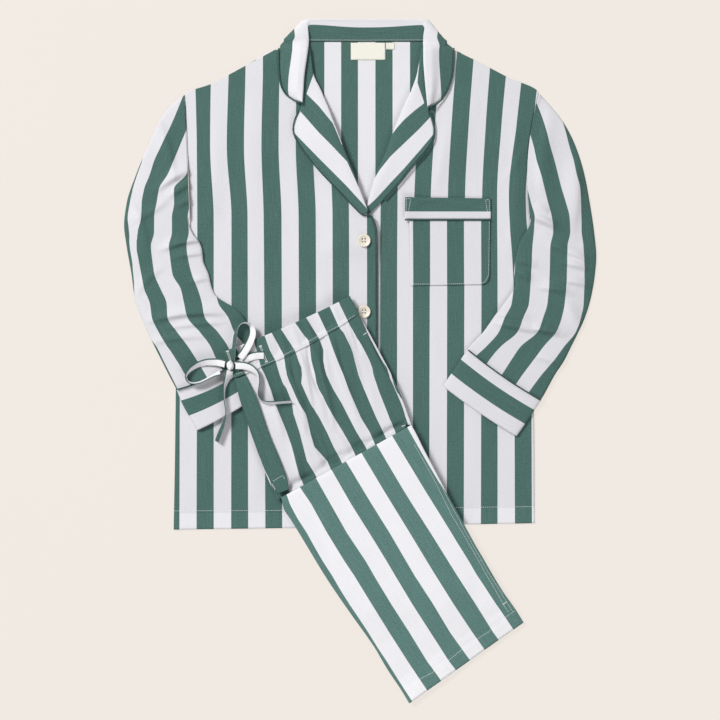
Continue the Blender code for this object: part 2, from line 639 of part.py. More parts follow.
def widest_mesh(x, y):
    """Longest diagonal between neighbouring points of a grid."""
    first = np.hypot(x[1:, 1:] - x[:-1, :-1], y[1:, 1:] - y[:-1, :-1])
    second = np.hypot(x[1:, :-1] - x[:-1, 1:], y[1:, :-1] - y[:-1, 1:])
    return max(first.max(), second.max())


def grid_mesh(name, points):
    """A grid whose corners are moved to points[row][column], facing up."""
    rows, columns = points.shape[0] - 1, points.shape[1] - 1
    shape = bmesh.new()
    bmesh.ops.create_grid(shape, x_segments=columns, y_segments=rows, size=1.0)
    places = placed(points)
    for corner in shape.verts:
        column = round((corner.co.x + 1.0) / 2.0 * columns)
        row = round((corner.co.y + 1.0) / 2.0 * rows)
        corner.co = Vector(places[row, column])
    shape.normal_update()
    if sum(face.normal.z for face in shape.faces) < 0.0:
        bmesh.ops.reverse_faces(shape, faces=shape.faces)
    mesh = bpy.data.meshes.new(name)
    shape.to_mesh(mesh)
    shape.free()
    mesh.shade_smooth()
    return mesh


def give_wall(piece, thickness, side=1.0):
    """Thickens an open sheet: side 1 upwards from its points, 0 to both sides."""
    wall = piece.modifiers.new("wall", "SOLIDIFY")
    wall.thickness = thickness * MM
    wall.offset = side
    wall.use_even_offset = True
    wall.use_quality_normals = True


def lay_panel(name, rows, shares, pile, colour, step=PANEL_STEP, wall=WALL, folds=None,
              lift=None):
    """A panel of cloth laid on the pile. lift(station share, width share) adds height."""
    rows = refined(rows, step)
    if isinstance(shares, int):
        shares = np.linspace(0.0, 1.0, shares + 1)
    x, y = across_stations(rows, shares)
    z = pile.level(x, y, widest_mesh(x, y)) + GAP
    if lift is not None:
        along = np.linspace(0.0, 1.0, x.shape[0])[:, None]
        z += lift(along, np.asarray(shares)[None, :])
    z += np.maximum(fold_height(x, y, folds), 0.0)
    piece = add_piece(name, grid_mesh(name, np.stack([x, y, z], axis=-1)), colour)
    give_wall(piece, wall)
    return piece


def lay_tube(name, rows, around, pile, height, colour, wall=WALL, folds=None):
    """A flattened tube, open at both ends, laid on the pile: a loft through oval sections."""
    turn = np.arange(around) * 2.0 * math.pi / around
    side = np.sign(np.cos(turn)) * np.abs(np.cos(turn)) ** 0.8
    rise = np.sign(np.sin(turn)) * np.abs(np.sin(turn)) ** 0.55
    width = np.hypot(rows["right_x"] - rows["left_x"], rows["right_y"] - rows["left_y"])
    x, y = across_stations(rows, (side + 1.0) / 2.0)
    floor = pile.level(x, y, widest_mesh(x, y)) + GAP
    half = height / 2.0
    upper = (rise[None, :] + 1.0) / 2.0
    crown = fold_height(x, y, folds) * upper
    outer = np.stack([x, y, floor + half * (1.0 + rise[None, :]) + crown], axis=-1)
    inner_share = (side[None, :] * (1.0 - 2.0 * wall / width[:, None]) + 1.0) / 2.0
    inner_x = np.empty_like(x)
    inner_y = np.empty_like(y)
    for place in range(len(width)):
        row = {key: column[place:place + 1] for key, column in rows.items()}
        inner_x[place], inner_y[place] = across_stations(row, inner_share[place])
    inner_z = floor + half + (half - wall) * rise[None, :] + crown
    inner = np.stack([inner_x, inner_y, inner_z], axis=-1)

    shape = bmesh.new()
    rings = []
    for surface in (placed(outer), placed(inner)):
        rings.append([[shape.verts.new(corner) for corner in ring] for ring in surface])
    outer_rings, inner_rings = rings
    for near, far in zip(outer_rings[:-1], outer_rings[1:]):
        bridge(shape, near, far)
    for near, far in zip(inner_rings[:-1], inner_rings[1:]):
        bridge(shape, far, near)
    bridge(shape, inner_rings[0], outer_rings[0])
    bridge(shape, outer_rings[-1], inner_rings[-1])
    bmesh.ops.recalc_face_normals(shape, faces=shape.faces)
    mesh = bpy.data.meshes.new(name)
    shape.to_mesh(mesh)
    shape.free()
    mesh.shade_smooth()
    return add_piece(name, mesh, colour)


def bridge(shape, first, second):
    """Faces between two closed rings with the same number of corners."""
    count = len(first)
    for place in range(count):
        after = (place + 1) % count
        shape.faces.new((first[place], first[after], second[after], second[place]))


def lay_layers(name, rows, across, pile, colour, step=LAYER_STEP):
    """Folded plies as one rounded solid: its edge is grooved between one ply and the next."""
    rows = refined(rows, step)
    x, y = across_stations(rows, np.linspace(0.0, 1.0, across + 1))
    low = pile.level(x, y, widest_mesh(x, y)) + GAP
    high = low + rows["thick"][:, None]
    last_row, last_column = x.shape[0] - 1, x.shape[1] - 1
    rim = [(0, column) for column in range(last_column)]
    rim += [(row, last_column) for row in range(last_row)]
    rim += [(last_row, column) for column in range(last_column, 0, -1)]
    rim += [(row, 0) for row in range(last_row, 0, -1)]

    shape = bmesh.new()
    levels = []
    for edge in range(2 * LAYER_COUNT + 1):
        share = edge / (2 * LAYER_COUNT)
        groove = LAYER_GROOVE if edge % 2 == 0 else 0.0
        ring = []
        for row, column in rim:
            spot = np.array([x[row, column], y[row, column]])
            inward = rim_inward(x, y, row, column)
            spot = spot + inward * groove
            height = low[row, column] * (1.0 - share) + high[row, column] * share
            ring.append(shape.verts.new(placed((*spot, height))))
        levels.append(ring)
    for lower, upper in zip(levels[:-1], levels[1:]):
        bridge(shape, lower, upper)
    for surface, ring, flip in ((low, levels[0], True), (high, levels[-1], False)):
        close_with_grid(shape, x, y, surface, rim, ring, flip)
    bmesh.ops.recalc_face_normals(shape, faces=shape.faces)
    mesh = bpy.data.meshes.new(name)
    shape.to_mesh(mesh)
    shape.free()
    return add_piece(name, mesh, colour)


def rim_inward(x, y, row, column):
    """Unit direction from an edge point of a grid to the inside."""
    last_row, last_column = x.shape[0] - 1, x.shape[1] - 1
    inner_row = min(max(row, 1), last_row - 1)
    inner_column = min(max(column, 1), last_column - 1)
    inward = np.array([x[inner_row, inner_column] - x[row, column],
                       y[inner_row, inner_column] - y[row, column]])
    return inward / np.hypot(*inward)


def close_with_grid(shape, x, y, heights, rim, ring, flip):
    """Closes a rim of corners with a grid of faces over the points inside it."""
    corners = {spot: corner for spot, corner in zip(rim, ring)}
    rows, columns = x.shape
    for row in range(1, rows - 1):
        for column in range(1, columns - 1):
            spot = (x[row, column], y[row, column], heights[row, column])
            corners[(row, column)] = shape.verts.new(placed(spot))
    for row in range(rows - 1):
        for column in range(columns - 1):
            face = [corners[(row, column)], corners[(row, column + 1)],
                    corners[(row + 1, column + 1)], corners[(row + 1, column)]]
            shape.faces.new(face[::-1] if flip else face)


def edge_of(rows, side, first, last):
    """Plan points of a panel's left or right edge, from one row to another."""
    step = 1 if last >= first else -1
    picked = slice(first, last + step if last + step >= 0 else None, step)
    return np.stack([rows[side + "_x"][picked], rows[side + "_y"][picked]], axis=-1)


def beside(route, distance):
    """A plan route moved to the right of its direction of travel."""
    run = np.gradient(route, axis=0)
    run /= np.hypot(run[:, 0], run[:, 1])[:, None]
    return route + np.stack([run[:, 1], -run[:, 0]], axis=-1) * distance


def divided(route, longest):
    """Adds points on a route's long straight stretches."""
    result = [route[0]]
    for start, end in zip(route[:-1], route[1:]):
        pieces = max(1, math.ceil(np.hypot(*(end - start)) / longest))
        result += [start + (end - start) * piece / pieces for piece in range(1, pieces + 1)]
    return np.array(result)


def lay_piping(name, route, pile):
    """A round cord of cloth along a plan route, lying on what is under it."""
    radius = PIPING_DIAMETER / 2.0
    route = divided(route, PIPING_STEP)
    spacing = float(np.hypot(*np.diff(route, axis=0).T).max())
    z = pile.level(route[:, 0], route[:, 1], spacing) + GAP + radius
    curve = bpy.data.curves.new(name, "CURVE")
    curve.dimensions = "3D"
    curve.bevel_depth = radius * MM
    curve.bevel_resolution = 1
    curve.use_fill_caps = True
    line = curve.splines.new("POLY")
    line.points.add(len(route) - 1)
    for point, place in zip(line.points, placed(np.column_stack([route, z]))):
        point.co = (*place, 1.0)
    return add_piece(name, curve, DEEP_GREEN)


def lay_collar(name, rows, pile, colour):
    """Notch collar: stand up to the roll, then the fall, on the fronts or under the back."""
    rows = refined(rows, COLLAR_STEP)
    seam, roll, bend, edge = (np.stack([rows[part + "_x"], rows[part + "_y"]], axis=-1)
                              for part in ("seam", "roll", "bend", "edge"))
    tucked = rows["tucked"][:, None]
    stretches = ((seam, roll), (roll, bend), (bend, edge))
    plan = []
    section = COLLAR_SECTION
    for stretch, on_top, under in zip(section["stretch"], section["on_top"], section["under"]):
        start, end = stretches[int(stretch)]
        share = on_top * (1.0 - tucked) + under * tucked
        plan.append(start + (end - start) * share)
    plan = np.stack(plan, axis=1)
    x, y = plan[..., 0], plan[..., 1]
    reach = np.hypot(*(plan[1:] - plan[:-1])[:, 2:].reshape(-1, 2).T).max()
    floor = pile.level(x, y, reach)
    z = ((floor + section["on_top_height"][None, :]) * (1.0 - tucked)
         + section["under_height"][None, :] * tucked)
    piece = add_piece(name, grid_mesh(name, np.stack([x, y, z], axis=-1)), colour)
    give_wall(piece, WALL, side=0.0)
    return piece


def level_by_knot(x, y, pile):
    """Height of the cloth under the knot, and how near to it each plan point is, 1 at it."""
    knot_x, knot_y = KNOT_AT
    floor = float(pile.level(np.array([knot_x]), np.array([knot_y]), TAPE_REACH)[0])
    return floor, np.exp(-((np.hypot(x - knot_x, y - knot_y) / KNOT_SIZE[0]) ** 2))


def lay_tape(name, rows, pile):
    """A flat drawstring tape: a loft through oblong sections turned by their tilt."""
    knot_floor, near = level_by_knot(rows["x"], rows["y"], pile)
    floor = pile.level(rows["x"], rows["y"], TAPE_REACH)
    floor += (knot_floor - floor) * near
    centre = np.stack([rows["x"], rows["y"], floor + rows["lift"]], axis=-1)
    run = np.gradient(centre, axis=0)
    run /= np.linalg.norm(run, axis=1)[:, None]
    beside = np.cross(run, (0.0, 0.0, 1.0))
    beside /= np.linalg.norm(beside, axis=1)[:, None]
    above = np.cross(beside, run)
    tilt = np.radians(rows["tilt"])[:, None]
    wide = (beside * np.cos(tilt) + above * np.sin(tilt)) * TAPE_WIDTH / 2.0
    thick = (above * np.cos(tilt) - beside * np.sin(tilt)) * TAPE_THICKNESS / 2.0
    shape = bmesh.new()
    rings = []
    for place in range(len(centre)):
        corners = (wide[place] + thick[place], thick[place] - wide[place],
                   -wide[place] - thick[place], wide[place] - thick[place])
        rings.append([shape.verts.new(placed(centre[place] + corner)) for corner in corners])
    for near, far in zip(rings[:-1], rings[1:]):
        bridge(shape, near, far)
    shape.faces.new(rings[0][::-1])
    shape.faces.new(rings[-1])
    bmesh.ops.recalc_face_normals(shape, faces=shape.faces)
    mesh = bpy.data.meshes.new(name)
    shape.to_mesh(mesh)
    shape.free()
    return add_piece(name, mesh, WHITE)


def lay_button(name, x, y, pile):
    """A round button with a raised rim."""
    radius = BUTTON_DIAMETER / 2.0
    floor = float(pile.level(np.array([x]), np.array([y]), radius)[0]) + GAP
    shape = bmesh.new()
    bmesh.ops.create_cone(shape, cap_ends=True, segments=BUTTON_SIDES, radius1=radius * MM,
                          radius2=radius * MM, depth=BUTTON_THICKNESS * MM)
    top = max(shape.faces, key=lambda face: face.calc_center_median().z)
    bmesh.ops.inset_region(shape, faces=[top], thickness=BUTTON_RIM * MM,
                           depth=-BUTTON_DISH * MM)
    mesh = bpy.data.meshes.new(name)
    shape.to_mesh(mesh)
    shape.free()
    piece = add_piece(name, mesh, CREAM, roughness=0.35)
    piece.location = placed((x, y, floor + BUTTON_THICKNESS / 2.0))
    return piece


def lay_knot(name, pile):
    """The drawstring's knot, as a rounded lump."""
    x, y = KNOT_AT
    floor = level_by_knot(x, y, pile)[0] + GAP
    shape = bmesh.new()
    bmesh.ops.create_uvsphere(shape, u_segments=12, v_segments=8, radius=0.5)
    bmesh.ops.scale(shape, vec=Vector(KNOT_SIZE) * MM, verts=shape.verts)
    mesh = bpy.data.meshes.new(name)
    shape.to_mesh(mesh)
    shape.free()
    piece = add_piece(name, mesh, WHITE)
    piece.location = placed((x, y, floor + KNOT_SIZE[2] / 2.0))
    return piece


def edge_route(cuff, back_off, count=9):
    """The plan route along a cuff's first section, moved back up the sleeve."""
    row = {key: column[0:1] for key, column in cuff.items()}
    x, y = across_stations(row, np.linspace(0.03, 0.97, count))
    run = np.array([cuff["right_x"][0] - cuff["left_x"][0],
                    cuff["right_y"][0] - cuff["left_y"][0]])
    run /= np.hypot(*run)
    return np.stack([x[0] - run[1] * back_off, y[0] + run[0] * back_off], axis=-1)


# The set -------------------------------------------------------------------------------------

def front_air(along, across):
    """A front stands off the back in its middle and meets it at its seams."""
    return JACKET_AIR * np.sin(math.pi * across) ** 0.7 * np.sin(math.pi * along) ** 0.35


def roll_right(along, across):
    """Height of the right lapel from its free edge to its roll."""
    return np.interp(across, ROLL_SHARES, ROLL_HEIGHTS) + 0.0 * along


def roll_left(along, across):
    return np.interp(1.0 - across, ROLL_SHARES, ROLL_HEIGHTS) + 0.0 * along


def collar_edge(way):
    """Plan points along the collar's short end and free edge, from the roll outwards."""
    rows = range(COLLAR_FRONT_ROWS) if way > 0 else range(-1, -1 - COLLAR_FRONT_ROWS, -1)
    first = rows[0]
    points = [(COLLAR[part + "_x"][first], COLLAR[part + "_y"][first])
              for part in ("roll", "bend")]
    points += [(COLLAR["edge_x"][row], COLLAR["edge_y"][row]) for row in rows]
    return np.array(points)


def build_body(pile):
    """Back, fronts, lapels and what is sewn on them. Returns the back and fronts."""
    pile.raise_strip(*COLLAR_FALL_STRIP, WALL)
    back = lay_panel("back_panel", BACK, BODY_COLUMNS, pile, GREEN, step=BACK_STEP)
    pile.top[:] = -GAP
    pile.lay(back)
    label = lay_panel("neck_label", LABEL, 2, pile, CREAM)
    size_tab = lay_panel("size_tab", SIZE_TAB, 1, pile, CREAM)
    front_left = lay_panel("front_left", FRONT_LEFT, BODY_COLUMNS, pile, GREEN, step=FRONT_STEP,
                           folds=FRONT_LEFT_FOLDS, lift=front_air)
    pile.lay(front_left)
    under = pile.copy()
    lapel_left = lay_panel("lapel_left", LAPEL_LEFT, [1.0 - s for s in ROLL_SHARES[::-1]],
                           pile, GREEN, wall=THICK_WALL, lift=roll_left)
    pile.lay(lapel_left)
    front_right = lay_panel("front_right", FRONT_RIGHT, BODY_COLUMNS, pile, WHITE, step=FRONT_STEP,
                            folds=FRONT_RIGHT_FOLDS, lift=front_air)
    pile.lay(front_right)
    lapel_right = lay_panel("lapel_right", LAPEL_RIGHT, ROLL_SHARES,
                            pile, GREEN, wall=THICK_WALL, lift=roll_right)
    lapel_edge = edge_of(LAPEL_RIGHT, "left", NOTCH_ROW, 0)
    front_edge = edge_of(FRONT_RIGHT, "right", FRONT_EDGE_ROW, 0)
    pipings = [
        lay_piping("front_piping_right",
                   np.concatenate([beside(lapel_edge, PIPING_OFF),
                                   beside(front_edge, -PIPING_OFF)]), pile),
        lay_piping("front_piping_left",
                   beside(edge_of(LAPEL_LEFT, "right", NOTCH_ROW, 1), -PIPING_OFF), under),
    ]
    pocket = lay_panel("pocket", POCKET, POCKET_COLUMNS, pile, WHITE)
    pocket_edge = np.array([(POCKET_BAND[side + "_x"][0], POCKET_BAND[side + "_y"][0])
                            for side in ("left", "right")])
    pipings.append(lay_piping("pocket_piping", beside(pocket_edge, PIPING_OFF), pile))
    band = lay_panel("pocket_band", POCKET_BAND, POCKET_COLUMNS, pile, GREEN, wall=THICK_WALL)
    for piece in (lapel_right, pocket, band, label, size_tab):
        pile.lay(piece)
    for place in range(BUTTON_COUNT):
        button = lay_button(f"button_{place + 1}", BUTTON_X,
                            BUTTON_TOP_Y - place * BUTTON_SPACING, pile)
        pile.lay(button)
    collar = lay_collar("collar", COLLAR, pile, WHITE)
    for side, way in (("right", 1.0), ("left", -1.0)):
        edge = beside(collar_edge(way), -way * PIPING_OFF)
        pipings.append(lay_piping(f"collar_piping_{side}", edge, pile))
    for piece in (collar, *pipings):
        pile.lay(piece)
    return back, front_left, front_right


def build_sleeves(pile, body):
    """Sleeves join the body along the armhole and lie over its sides below it."""
    bed = Pile()
    for panel in body:
        bed.lay(panel, keep=lambda x, y: y < SLEEVE_OVER_BODY_Y)
    sides = (("right", SLEEVE_RIGHT, CUFF_RIGHT, SLEEVE_RIGHT_FOLDS),
             ("left", SLEEVE_LEFT, CUFF_LEFT, SLEEVE_LEFT_FOLDS))
    for side, sleeve_rows, cuff_rows, folds in sides:
        sleeve = lay_tube(f"sleeve_{side}", sleeve_rows, TUBE_SIDES, bed, SLEEVE_HEIGHT, GREEN,
                          folds=folds)
        cuff = lay_tube(f"cuff_{side}", cuff_rows, TUBE_SIDES, bed, CUFF_HEIGHT, WHITE)
        seat = bed.copy()
        seat.lay(sleeve)
        edge = edge_route(cuff_rows, CUFF_PIPING_OFF)
        piping = lay_piping(f"cuff_piping_{side}", edge, seat)
        pile.lay(sleeve)
        pile.lay(piping)
        pile.lay(cuff)


def above_fold(x, y):
    """Whether a plan point is on the waist's side of the line where the leg is folded."""
    left_x, left_y, right_x, right_y = (HIDDEN_LAYERS[key][FOLD_ROW]
                                        for key in PANEL_COLUMNS.split())
    line = left_y + (x - left_x) * (right_y - left_y) / (right_x - left_x)
    return y > line + FOLD_MARGIN


def build_trousers(pile):
    """Trousers folded in half along their length, then the leg folded down over itself."""
    layers = lay_layers("hidden_layers", HIDDEN_LAYERS, LAYER_COLUMNS, pile, GREEN)
    upper = pile.copy()
    upper.lay(layers, keep=above_fold)
    side_pocket = lay_panel("side_pocket_edge", SIDE_POCKET, 2, upper, WHITE)
    upper.lay(side_pocket)
    waistband = lay_panel("waistband", WAISTBAND, CASING_COLUMNS, upper, WHITE, step=WAISTBAND_STEP,
                          wall=THICK_WALL, folds=CASING_GATHERS)
    leg_upper = lay_panel("leg_upper", LEG_UPPER, GATHERED_COLUMNS, upper, GREEN, step=GATHERED_STEP,
                          folds=GATHERS)
    upper.lay(leg_upper)
    placket = lay_panel("fly_placket", PLACKET, 2, upper, GREEN, step=PLACKET_STEP)
    for piece in (layers, side_pocket, leg_upper, placket, waistband):
        pile.lay(piece)
    leg_lower = lay_panel("leg_lower", fold_over(LEG_LOWER), LEG_SHARES, pile, GREEN,
                          step=LEG_STEP, folds=LEG_LOWER_FOLDS, lift=leg_rounding)
    pile.lay(leg_lower)


def fold_over(rows):
    """Adds the leg's folded top edge: stations close together, where the cloth turns down."""
    result = {key: list(column) for key, column in rows.items()}
    run = np.array([FOLD_TOP[2] - FOLD_TOP[0], FOLD_TOP[3] - FOLD_TOP[1]])
    run /= np.hypot(*run)
    for inset, _ in FOLD_ROUNDING:
        spot = (FOLD_TOP[0] + run[1] * inset, FOLD_TOP[1] - run[0] * inset,
                FOLD_TOP[2] + run[1] * inset, FOLD_TOP[3] - run[0] * inset, 0.0)
        for key, value in zip(rows, spot):
            result[key].append(value)
    return {key: np.array(column) for key, column in result.items()}


def leg_rounding(along, across):
    """Sides and folded end of the leg turn down a little."""
    side = np.minimum(across, 1.0 - across)
    edge = np.interp(side, LEG_SIDE_SHARES, LEG_SIDE_DROPS)
    end = np.zeros_like(along)
    for place, (_, share) in enumerate(FOLD_ROUNDING[::-1]):
        end[-1 - place] = -FOLD_DROP * (1.0 - share)
    return edge + end


def build_drawstring(pile):
    """Two loops, two free ends and the strand from its buttonhole, round a knot."""
    lay_tape("drawstring_strand", STRAND_IN, pile)
    lay_tape("drawstring_loop_up", LOOP_UP, pile)
    lay_tape("drawstring_loop_left", LOOP_LEFT, pile)
    lay_tape("drawstring_tail_right", TAIL_RIGHT, pile)
    lay_tape("drawstring_tail_left", TAIL_LEFT, pile)
    lay_knot("drawstring_knot", pile)


def main():
    clear_scene()
    group = bpy.data.collections.new(SET_NAME)
    bpy.context.scene.collection.children.link(group)
    pile = Pile()
    body = build_body(pile)
    build_sleeves(pile, body)
    build_trousers(pile)
    build_drawstring(pile)


main()
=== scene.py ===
"""Pyjama set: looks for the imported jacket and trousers, laid out on a pale surface."""

import math

import bmesh
import bpy
import numpy as np
from mathutils import Matrix, Vector
from mathutils.bvhtree import BVHTree


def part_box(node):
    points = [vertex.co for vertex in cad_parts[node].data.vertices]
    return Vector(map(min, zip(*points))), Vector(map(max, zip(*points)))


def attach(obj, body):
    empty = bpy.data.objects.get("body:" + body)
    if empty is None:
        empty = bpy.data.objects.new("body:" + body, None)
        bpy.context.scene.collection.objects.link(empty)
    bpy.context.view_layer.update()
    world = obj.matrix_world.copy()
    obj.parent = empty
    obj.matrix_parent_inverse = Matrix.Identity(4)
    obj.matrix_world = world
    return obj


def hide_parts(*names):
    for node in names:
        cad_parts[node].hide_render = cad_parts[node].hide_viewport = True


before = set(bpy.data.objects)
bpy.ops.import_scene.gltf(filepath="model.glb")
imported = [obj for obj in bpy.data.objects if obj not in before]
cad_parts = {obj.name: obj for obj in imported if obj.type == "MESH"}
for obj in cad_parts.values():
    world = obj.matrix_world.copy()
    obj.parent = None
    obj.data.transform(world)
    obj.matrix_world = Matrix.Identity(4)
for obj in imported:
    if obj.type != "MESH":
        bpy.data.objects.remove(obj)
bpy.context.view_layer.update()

# --- The surface, the light and the camera ---
# The set lies on a plain, pale, matt board under soft studio light. The camera looks straight
# down through a long lens, with the collar at the top.


def join(tree, node, sockets):
    """Joins a node's inputs to other nodes' outputs, or sets them to values."""
    for socket, value in sockets.items():
        if isinstance(value, bpy.types.NodeSocket):
            tree.links.new(value, node.inputs[socket])
        else:
            node.inputs[socket].default_value = value


def add_node(tree, kind, sockets, **settings):
    """Adds a node to a tree, and gives its outputs."""
    node = tree.nodes.new("ShaderNode" + kind)
    for name, setting in settings.items():
        setattr(node, name, setting)
    join(tree, node, sockets)
    return node.outputs


def two_toned(tree, share, first, second):
    """The colour at a share of the way from one to another."""
    return add_node(tree, "Mix", {"Factor": share, "A": (*first, 1.0), "B": (*second, 1.0)},
                    data_type="RGBA")["Result"]


def new_material(name, surface):
    """A material and its nodes, with values for its Principled surface."""
    paint = bpy.data.materials.new(name)
    paint.use_nodes = True
    join(paint.node_tree, paint.node_tree.nodes["Principled BSDF"], surface)
    return paint, paint.node_tree


def mottled(name, surface, grain, first, second):
    """A material clouded between two colours."""
    paint, tree = new_material(name, surface)
    place = add_node(tree, "TexCoord", {})["Object"]
    cloud = add_node(tree, "TexNoise", {"Vector": place, **grain})["Fac"]
    colour = two_toned(tree, cloud, first, second)
    join(tree, tree.nodes["Principled BSDF"], {"Base Color": colour})
    return paint


bpy.ops.object.select_all(action="DESELECT")
bpy.ops.mesh.primitive_plane_add(size=9.0, location=(0.0, 0.0, -0.0003))
board = bpy.context.object
board.name = "board"
bpy.ops.object.transform_apply(location=True)
board.data.materials.append(mottled(
    "pale_board",
    {"Roughness": 0.95, "Specular IOR Level": 0.1, "Emission Strength": 0.88,
     "Emission Color": (0.871, 0.812, 0.753, 1.0)},
    {"Scale": 5.0}, (0.104, 0.097, 0.090), (0.108, 0.101, 0.094)))

sky = bpy.data.worlds.new("studio")
sky.use_nodes = True
join(sky.node_tree, sky.node_tree.nodes["Background"],
     {"Color": (1.0, 0.99, 0.985, 1.0), "Strength": 0.34})
bpy.context.scene.world = sky
bpy.context.scene.view_settings.view_transform = "Standard"

for lamp_name, place, size, power in (("softbox_left", (-3.3, 2.85, 4.5), 1.9, 328.0),
                                      ("softbox_foot", (1.3, -2.0, 1.9), 1.4, 22.0)):
    lamp = bpy.data.lights.new(lamp_name, "AREA")
    lamp.shape = "DISK"
    lamp.size = size
    lamp.energy = power
    lamp_object = bpy.data.objects.new(lamp_name, lamp)
    lamp_object.location = place
    lamp_object.rotation_euler = (-Vector(place)).to_track_quat("-Z", "Y").to_euler()
    bpy.context.scene.collection.objects.link(lamp_object)

lens = bpy.data.cameras.new("camera")
lens.lens = 135.0
lens.sensor_width = 36.0
lens.clip_end = 30.0
camera = bpy.data.objects.new("camera", lens)
camera.location = (-0.0003, 0.0005, 3.784)
bpy.context.scene.collection.objects.link(camera)
bpy.context.scene.camera = camera

# --- Jacket back ---
# One panel of yarn-dyed cotton poplin in even green and white stripes, cut on the straight
# grain. It lies on the board, and shows inside the neck and at the hem.
MM = 0.001
CENTRE = np.array([1.8, -0.2])     # where the tables' zero lies in the frame, mm
STRIPE = 24.0                      # width of a stripe, mm
CLOTH = 0.6                        # thickness of one layer as it lies, mm
SEAM_GAP = 0.3                     # air between layers, mm
CELL = 2.0                         # the plan's cells, on which heights are kept, mm
PLAN_LOW = np.array([-352.0, -500.0])
PLAN_CELLS = (353, 501)
CARRIED_ON = 14                    # cells by which a height goes on past its outline
ABOVE_ALL = 0.2                    # where rays start, m
DOWN = Vector((0.0, 0.0, -1.0))
laid = np.zeros(PLAN_CELLS)        # height of all that has been laid so far, mm


def table(*rows):
    """Rows of numbers, given one by one."""
    return np.array(rows, float)


def surface_of(*pieces):
    """Where pieces lie, for rays to find."""
    corners, faces = [], []
    for piece in pieces:
        start = len(corners)
        corners += [corner.co[:] for corner in piece.data.vertices]
        faces += [[start + corner for corner in face.vertices] for face in piece.data.polygons]
    return BVHTree.FromPolygons(corners, faces)


def height_on(surface, x, y):
    """Height of a surface at a place, in mm, or None beside it."""
    spot = Vector(((x + CENTRE[0]) * MM, (y + CENTRE[1]) * MM, ABOVE_ALL))
    hit = surface.ray_cast(spot, DOWN)[0]
    return None if hit is None else hit.z / MM


def read_heights(heights, x, y):
    """Heights at places of the plan, in between its cells."""
    column = np.clip((x - PLAN_LOW[0]) / CELL, 0, PLAN_CELLS[0] - 1.001)
    row = np.clip((y - PLAN_LOW[1]) / CELL, 0, PLAN_CELLS[1] - 1.001)
    left, low = column.astype(int), row.astype(int)
    right_share, high_share = column - left, row - low
    return ((heights[left, low] * (1 - right_share) + heights[left + 1, low] * right_share)
            * (1 - high_share)
            + (heights[left, low + 1] * (1 - right_share)
               + heights[left + 1, low + 1] * right_share) * high_share)


def softened(heights, times):
    """Heights with each cell drawn towards its neighbours, some number of times."""
    for _ in range(times):
        for axis in (0, 1):
            before, after = np.roll(heights, 1, axis), np.roll(heights, -1, axis)
            heights = 0.5 * heights + 0.25 * (before + after)
    return heights


def top_of(solid, softness):
    """Softened height of a solid's upper side, carried on a little past its outline."""
    surface = surface_of(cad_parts[solid])
    low, high = (np.array(corner[:2]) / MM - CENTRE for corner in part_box(solid))
    first = np.maximum(((low - PLAN_LOW) / CELL).astype(int) - 1, 0)
    last = np.minimum(((high - PLAN_LOW) / CELL).astype(int) + 2, np.array(PLAN_CELLS) - 1)
    heights, known = np.zeros(PLAN_CELLS), np.zeros(PLAN_CELLS)
    for column in range(first[0], last[0] + 1):
        for row in range(first[1], last[1] + 1):
            height = height_on(surface, PLAN_LOW[0] + column * CELL, PLAN_LOW[1] + row * CELL)
            if height is not None:
                heights[column, row], known[column, row] = height, 1.0
    for _ in range(CARRIED_ON):
        weight, total = softened(known, 1), softened(heights * known, 1)
        fresh = (known == 0) & (weight > 0)
        heights[fresh] = total[fresh] / weight[fresh]
        known[fresh] = 1.0
    weight = softened(known, softness)
    return softened(heights * known, softness) / np.maximum(weight, 1e-6)


def cover(softness=3):
    """What lies there already, with a cell to spare round its edges, softened like cloth."""
    wide = laid
    for axis in (0, 1):
        wide = np.maximum(wide, np.maximum(np.roll(wide, 1, axis), np.roll(wide, -1, axis)))
    return softened(wide, softness)


def lay_down(x, y, z):
    """Adds a grid of places, and those midway between them, to what is laid."""
    places = np.stack([x, y, z], axis=-1)
    for axis in (0, 1):
        places = np.swapaxes(places, 0, axis)
        finer = np.repeat(places, 2, axis=0)[:-1]
        finer[1::2] = (places[1:] + places[:-1]) / 2.0
        places = np.swapaxes(finer, 0, axis)
    spots = places.reshape(-1, 3)
    cells = np.rint((spots[:, :2] - PLAN_LOW) / CELL).astype(int)
    inside = ((cells >= 0) & (cells < PLAN_CELLS)).all(axis=1)
    np.maximum.at(laid, tuple(cells[inside].T), spots[inside, 2])


def smooth_through(knots, values, at):
    """Values on a smooth line through a table's rows, which never swings past them."""
    step = np.diff(knots)
    slope = np.diff(values, axis=0) / step[:, None]
    lean = np.zeros_like(values)
    lean[0], lean[-1] = slope[0], slope[-1]
    same = slope[:-1] * slope[1:] > 0
    total = np.where(same, slope[:-1] + slope[1:], 1.0)
    lean[1:-1] = np.where(same, 2.0 * slope[:-1] * slope[1:] / total, 0.0)
    place = np.clip(np.searchsorted(knots, at) - 1, 0, len(step) - 1)
    share = ((at - knots[place]) / step[place])[:, None]
    size = step[place][:, None]
    return (values[place] * (1 + 2 * share) * (1 - share) ** 2
            + lean[place] * size * share * (1 - share) ** 2
            + values[place + 1] * share ** 2 * (3 - 2 * share)
            + lean[place + 1] * size * share ** 2 * (share - 1))


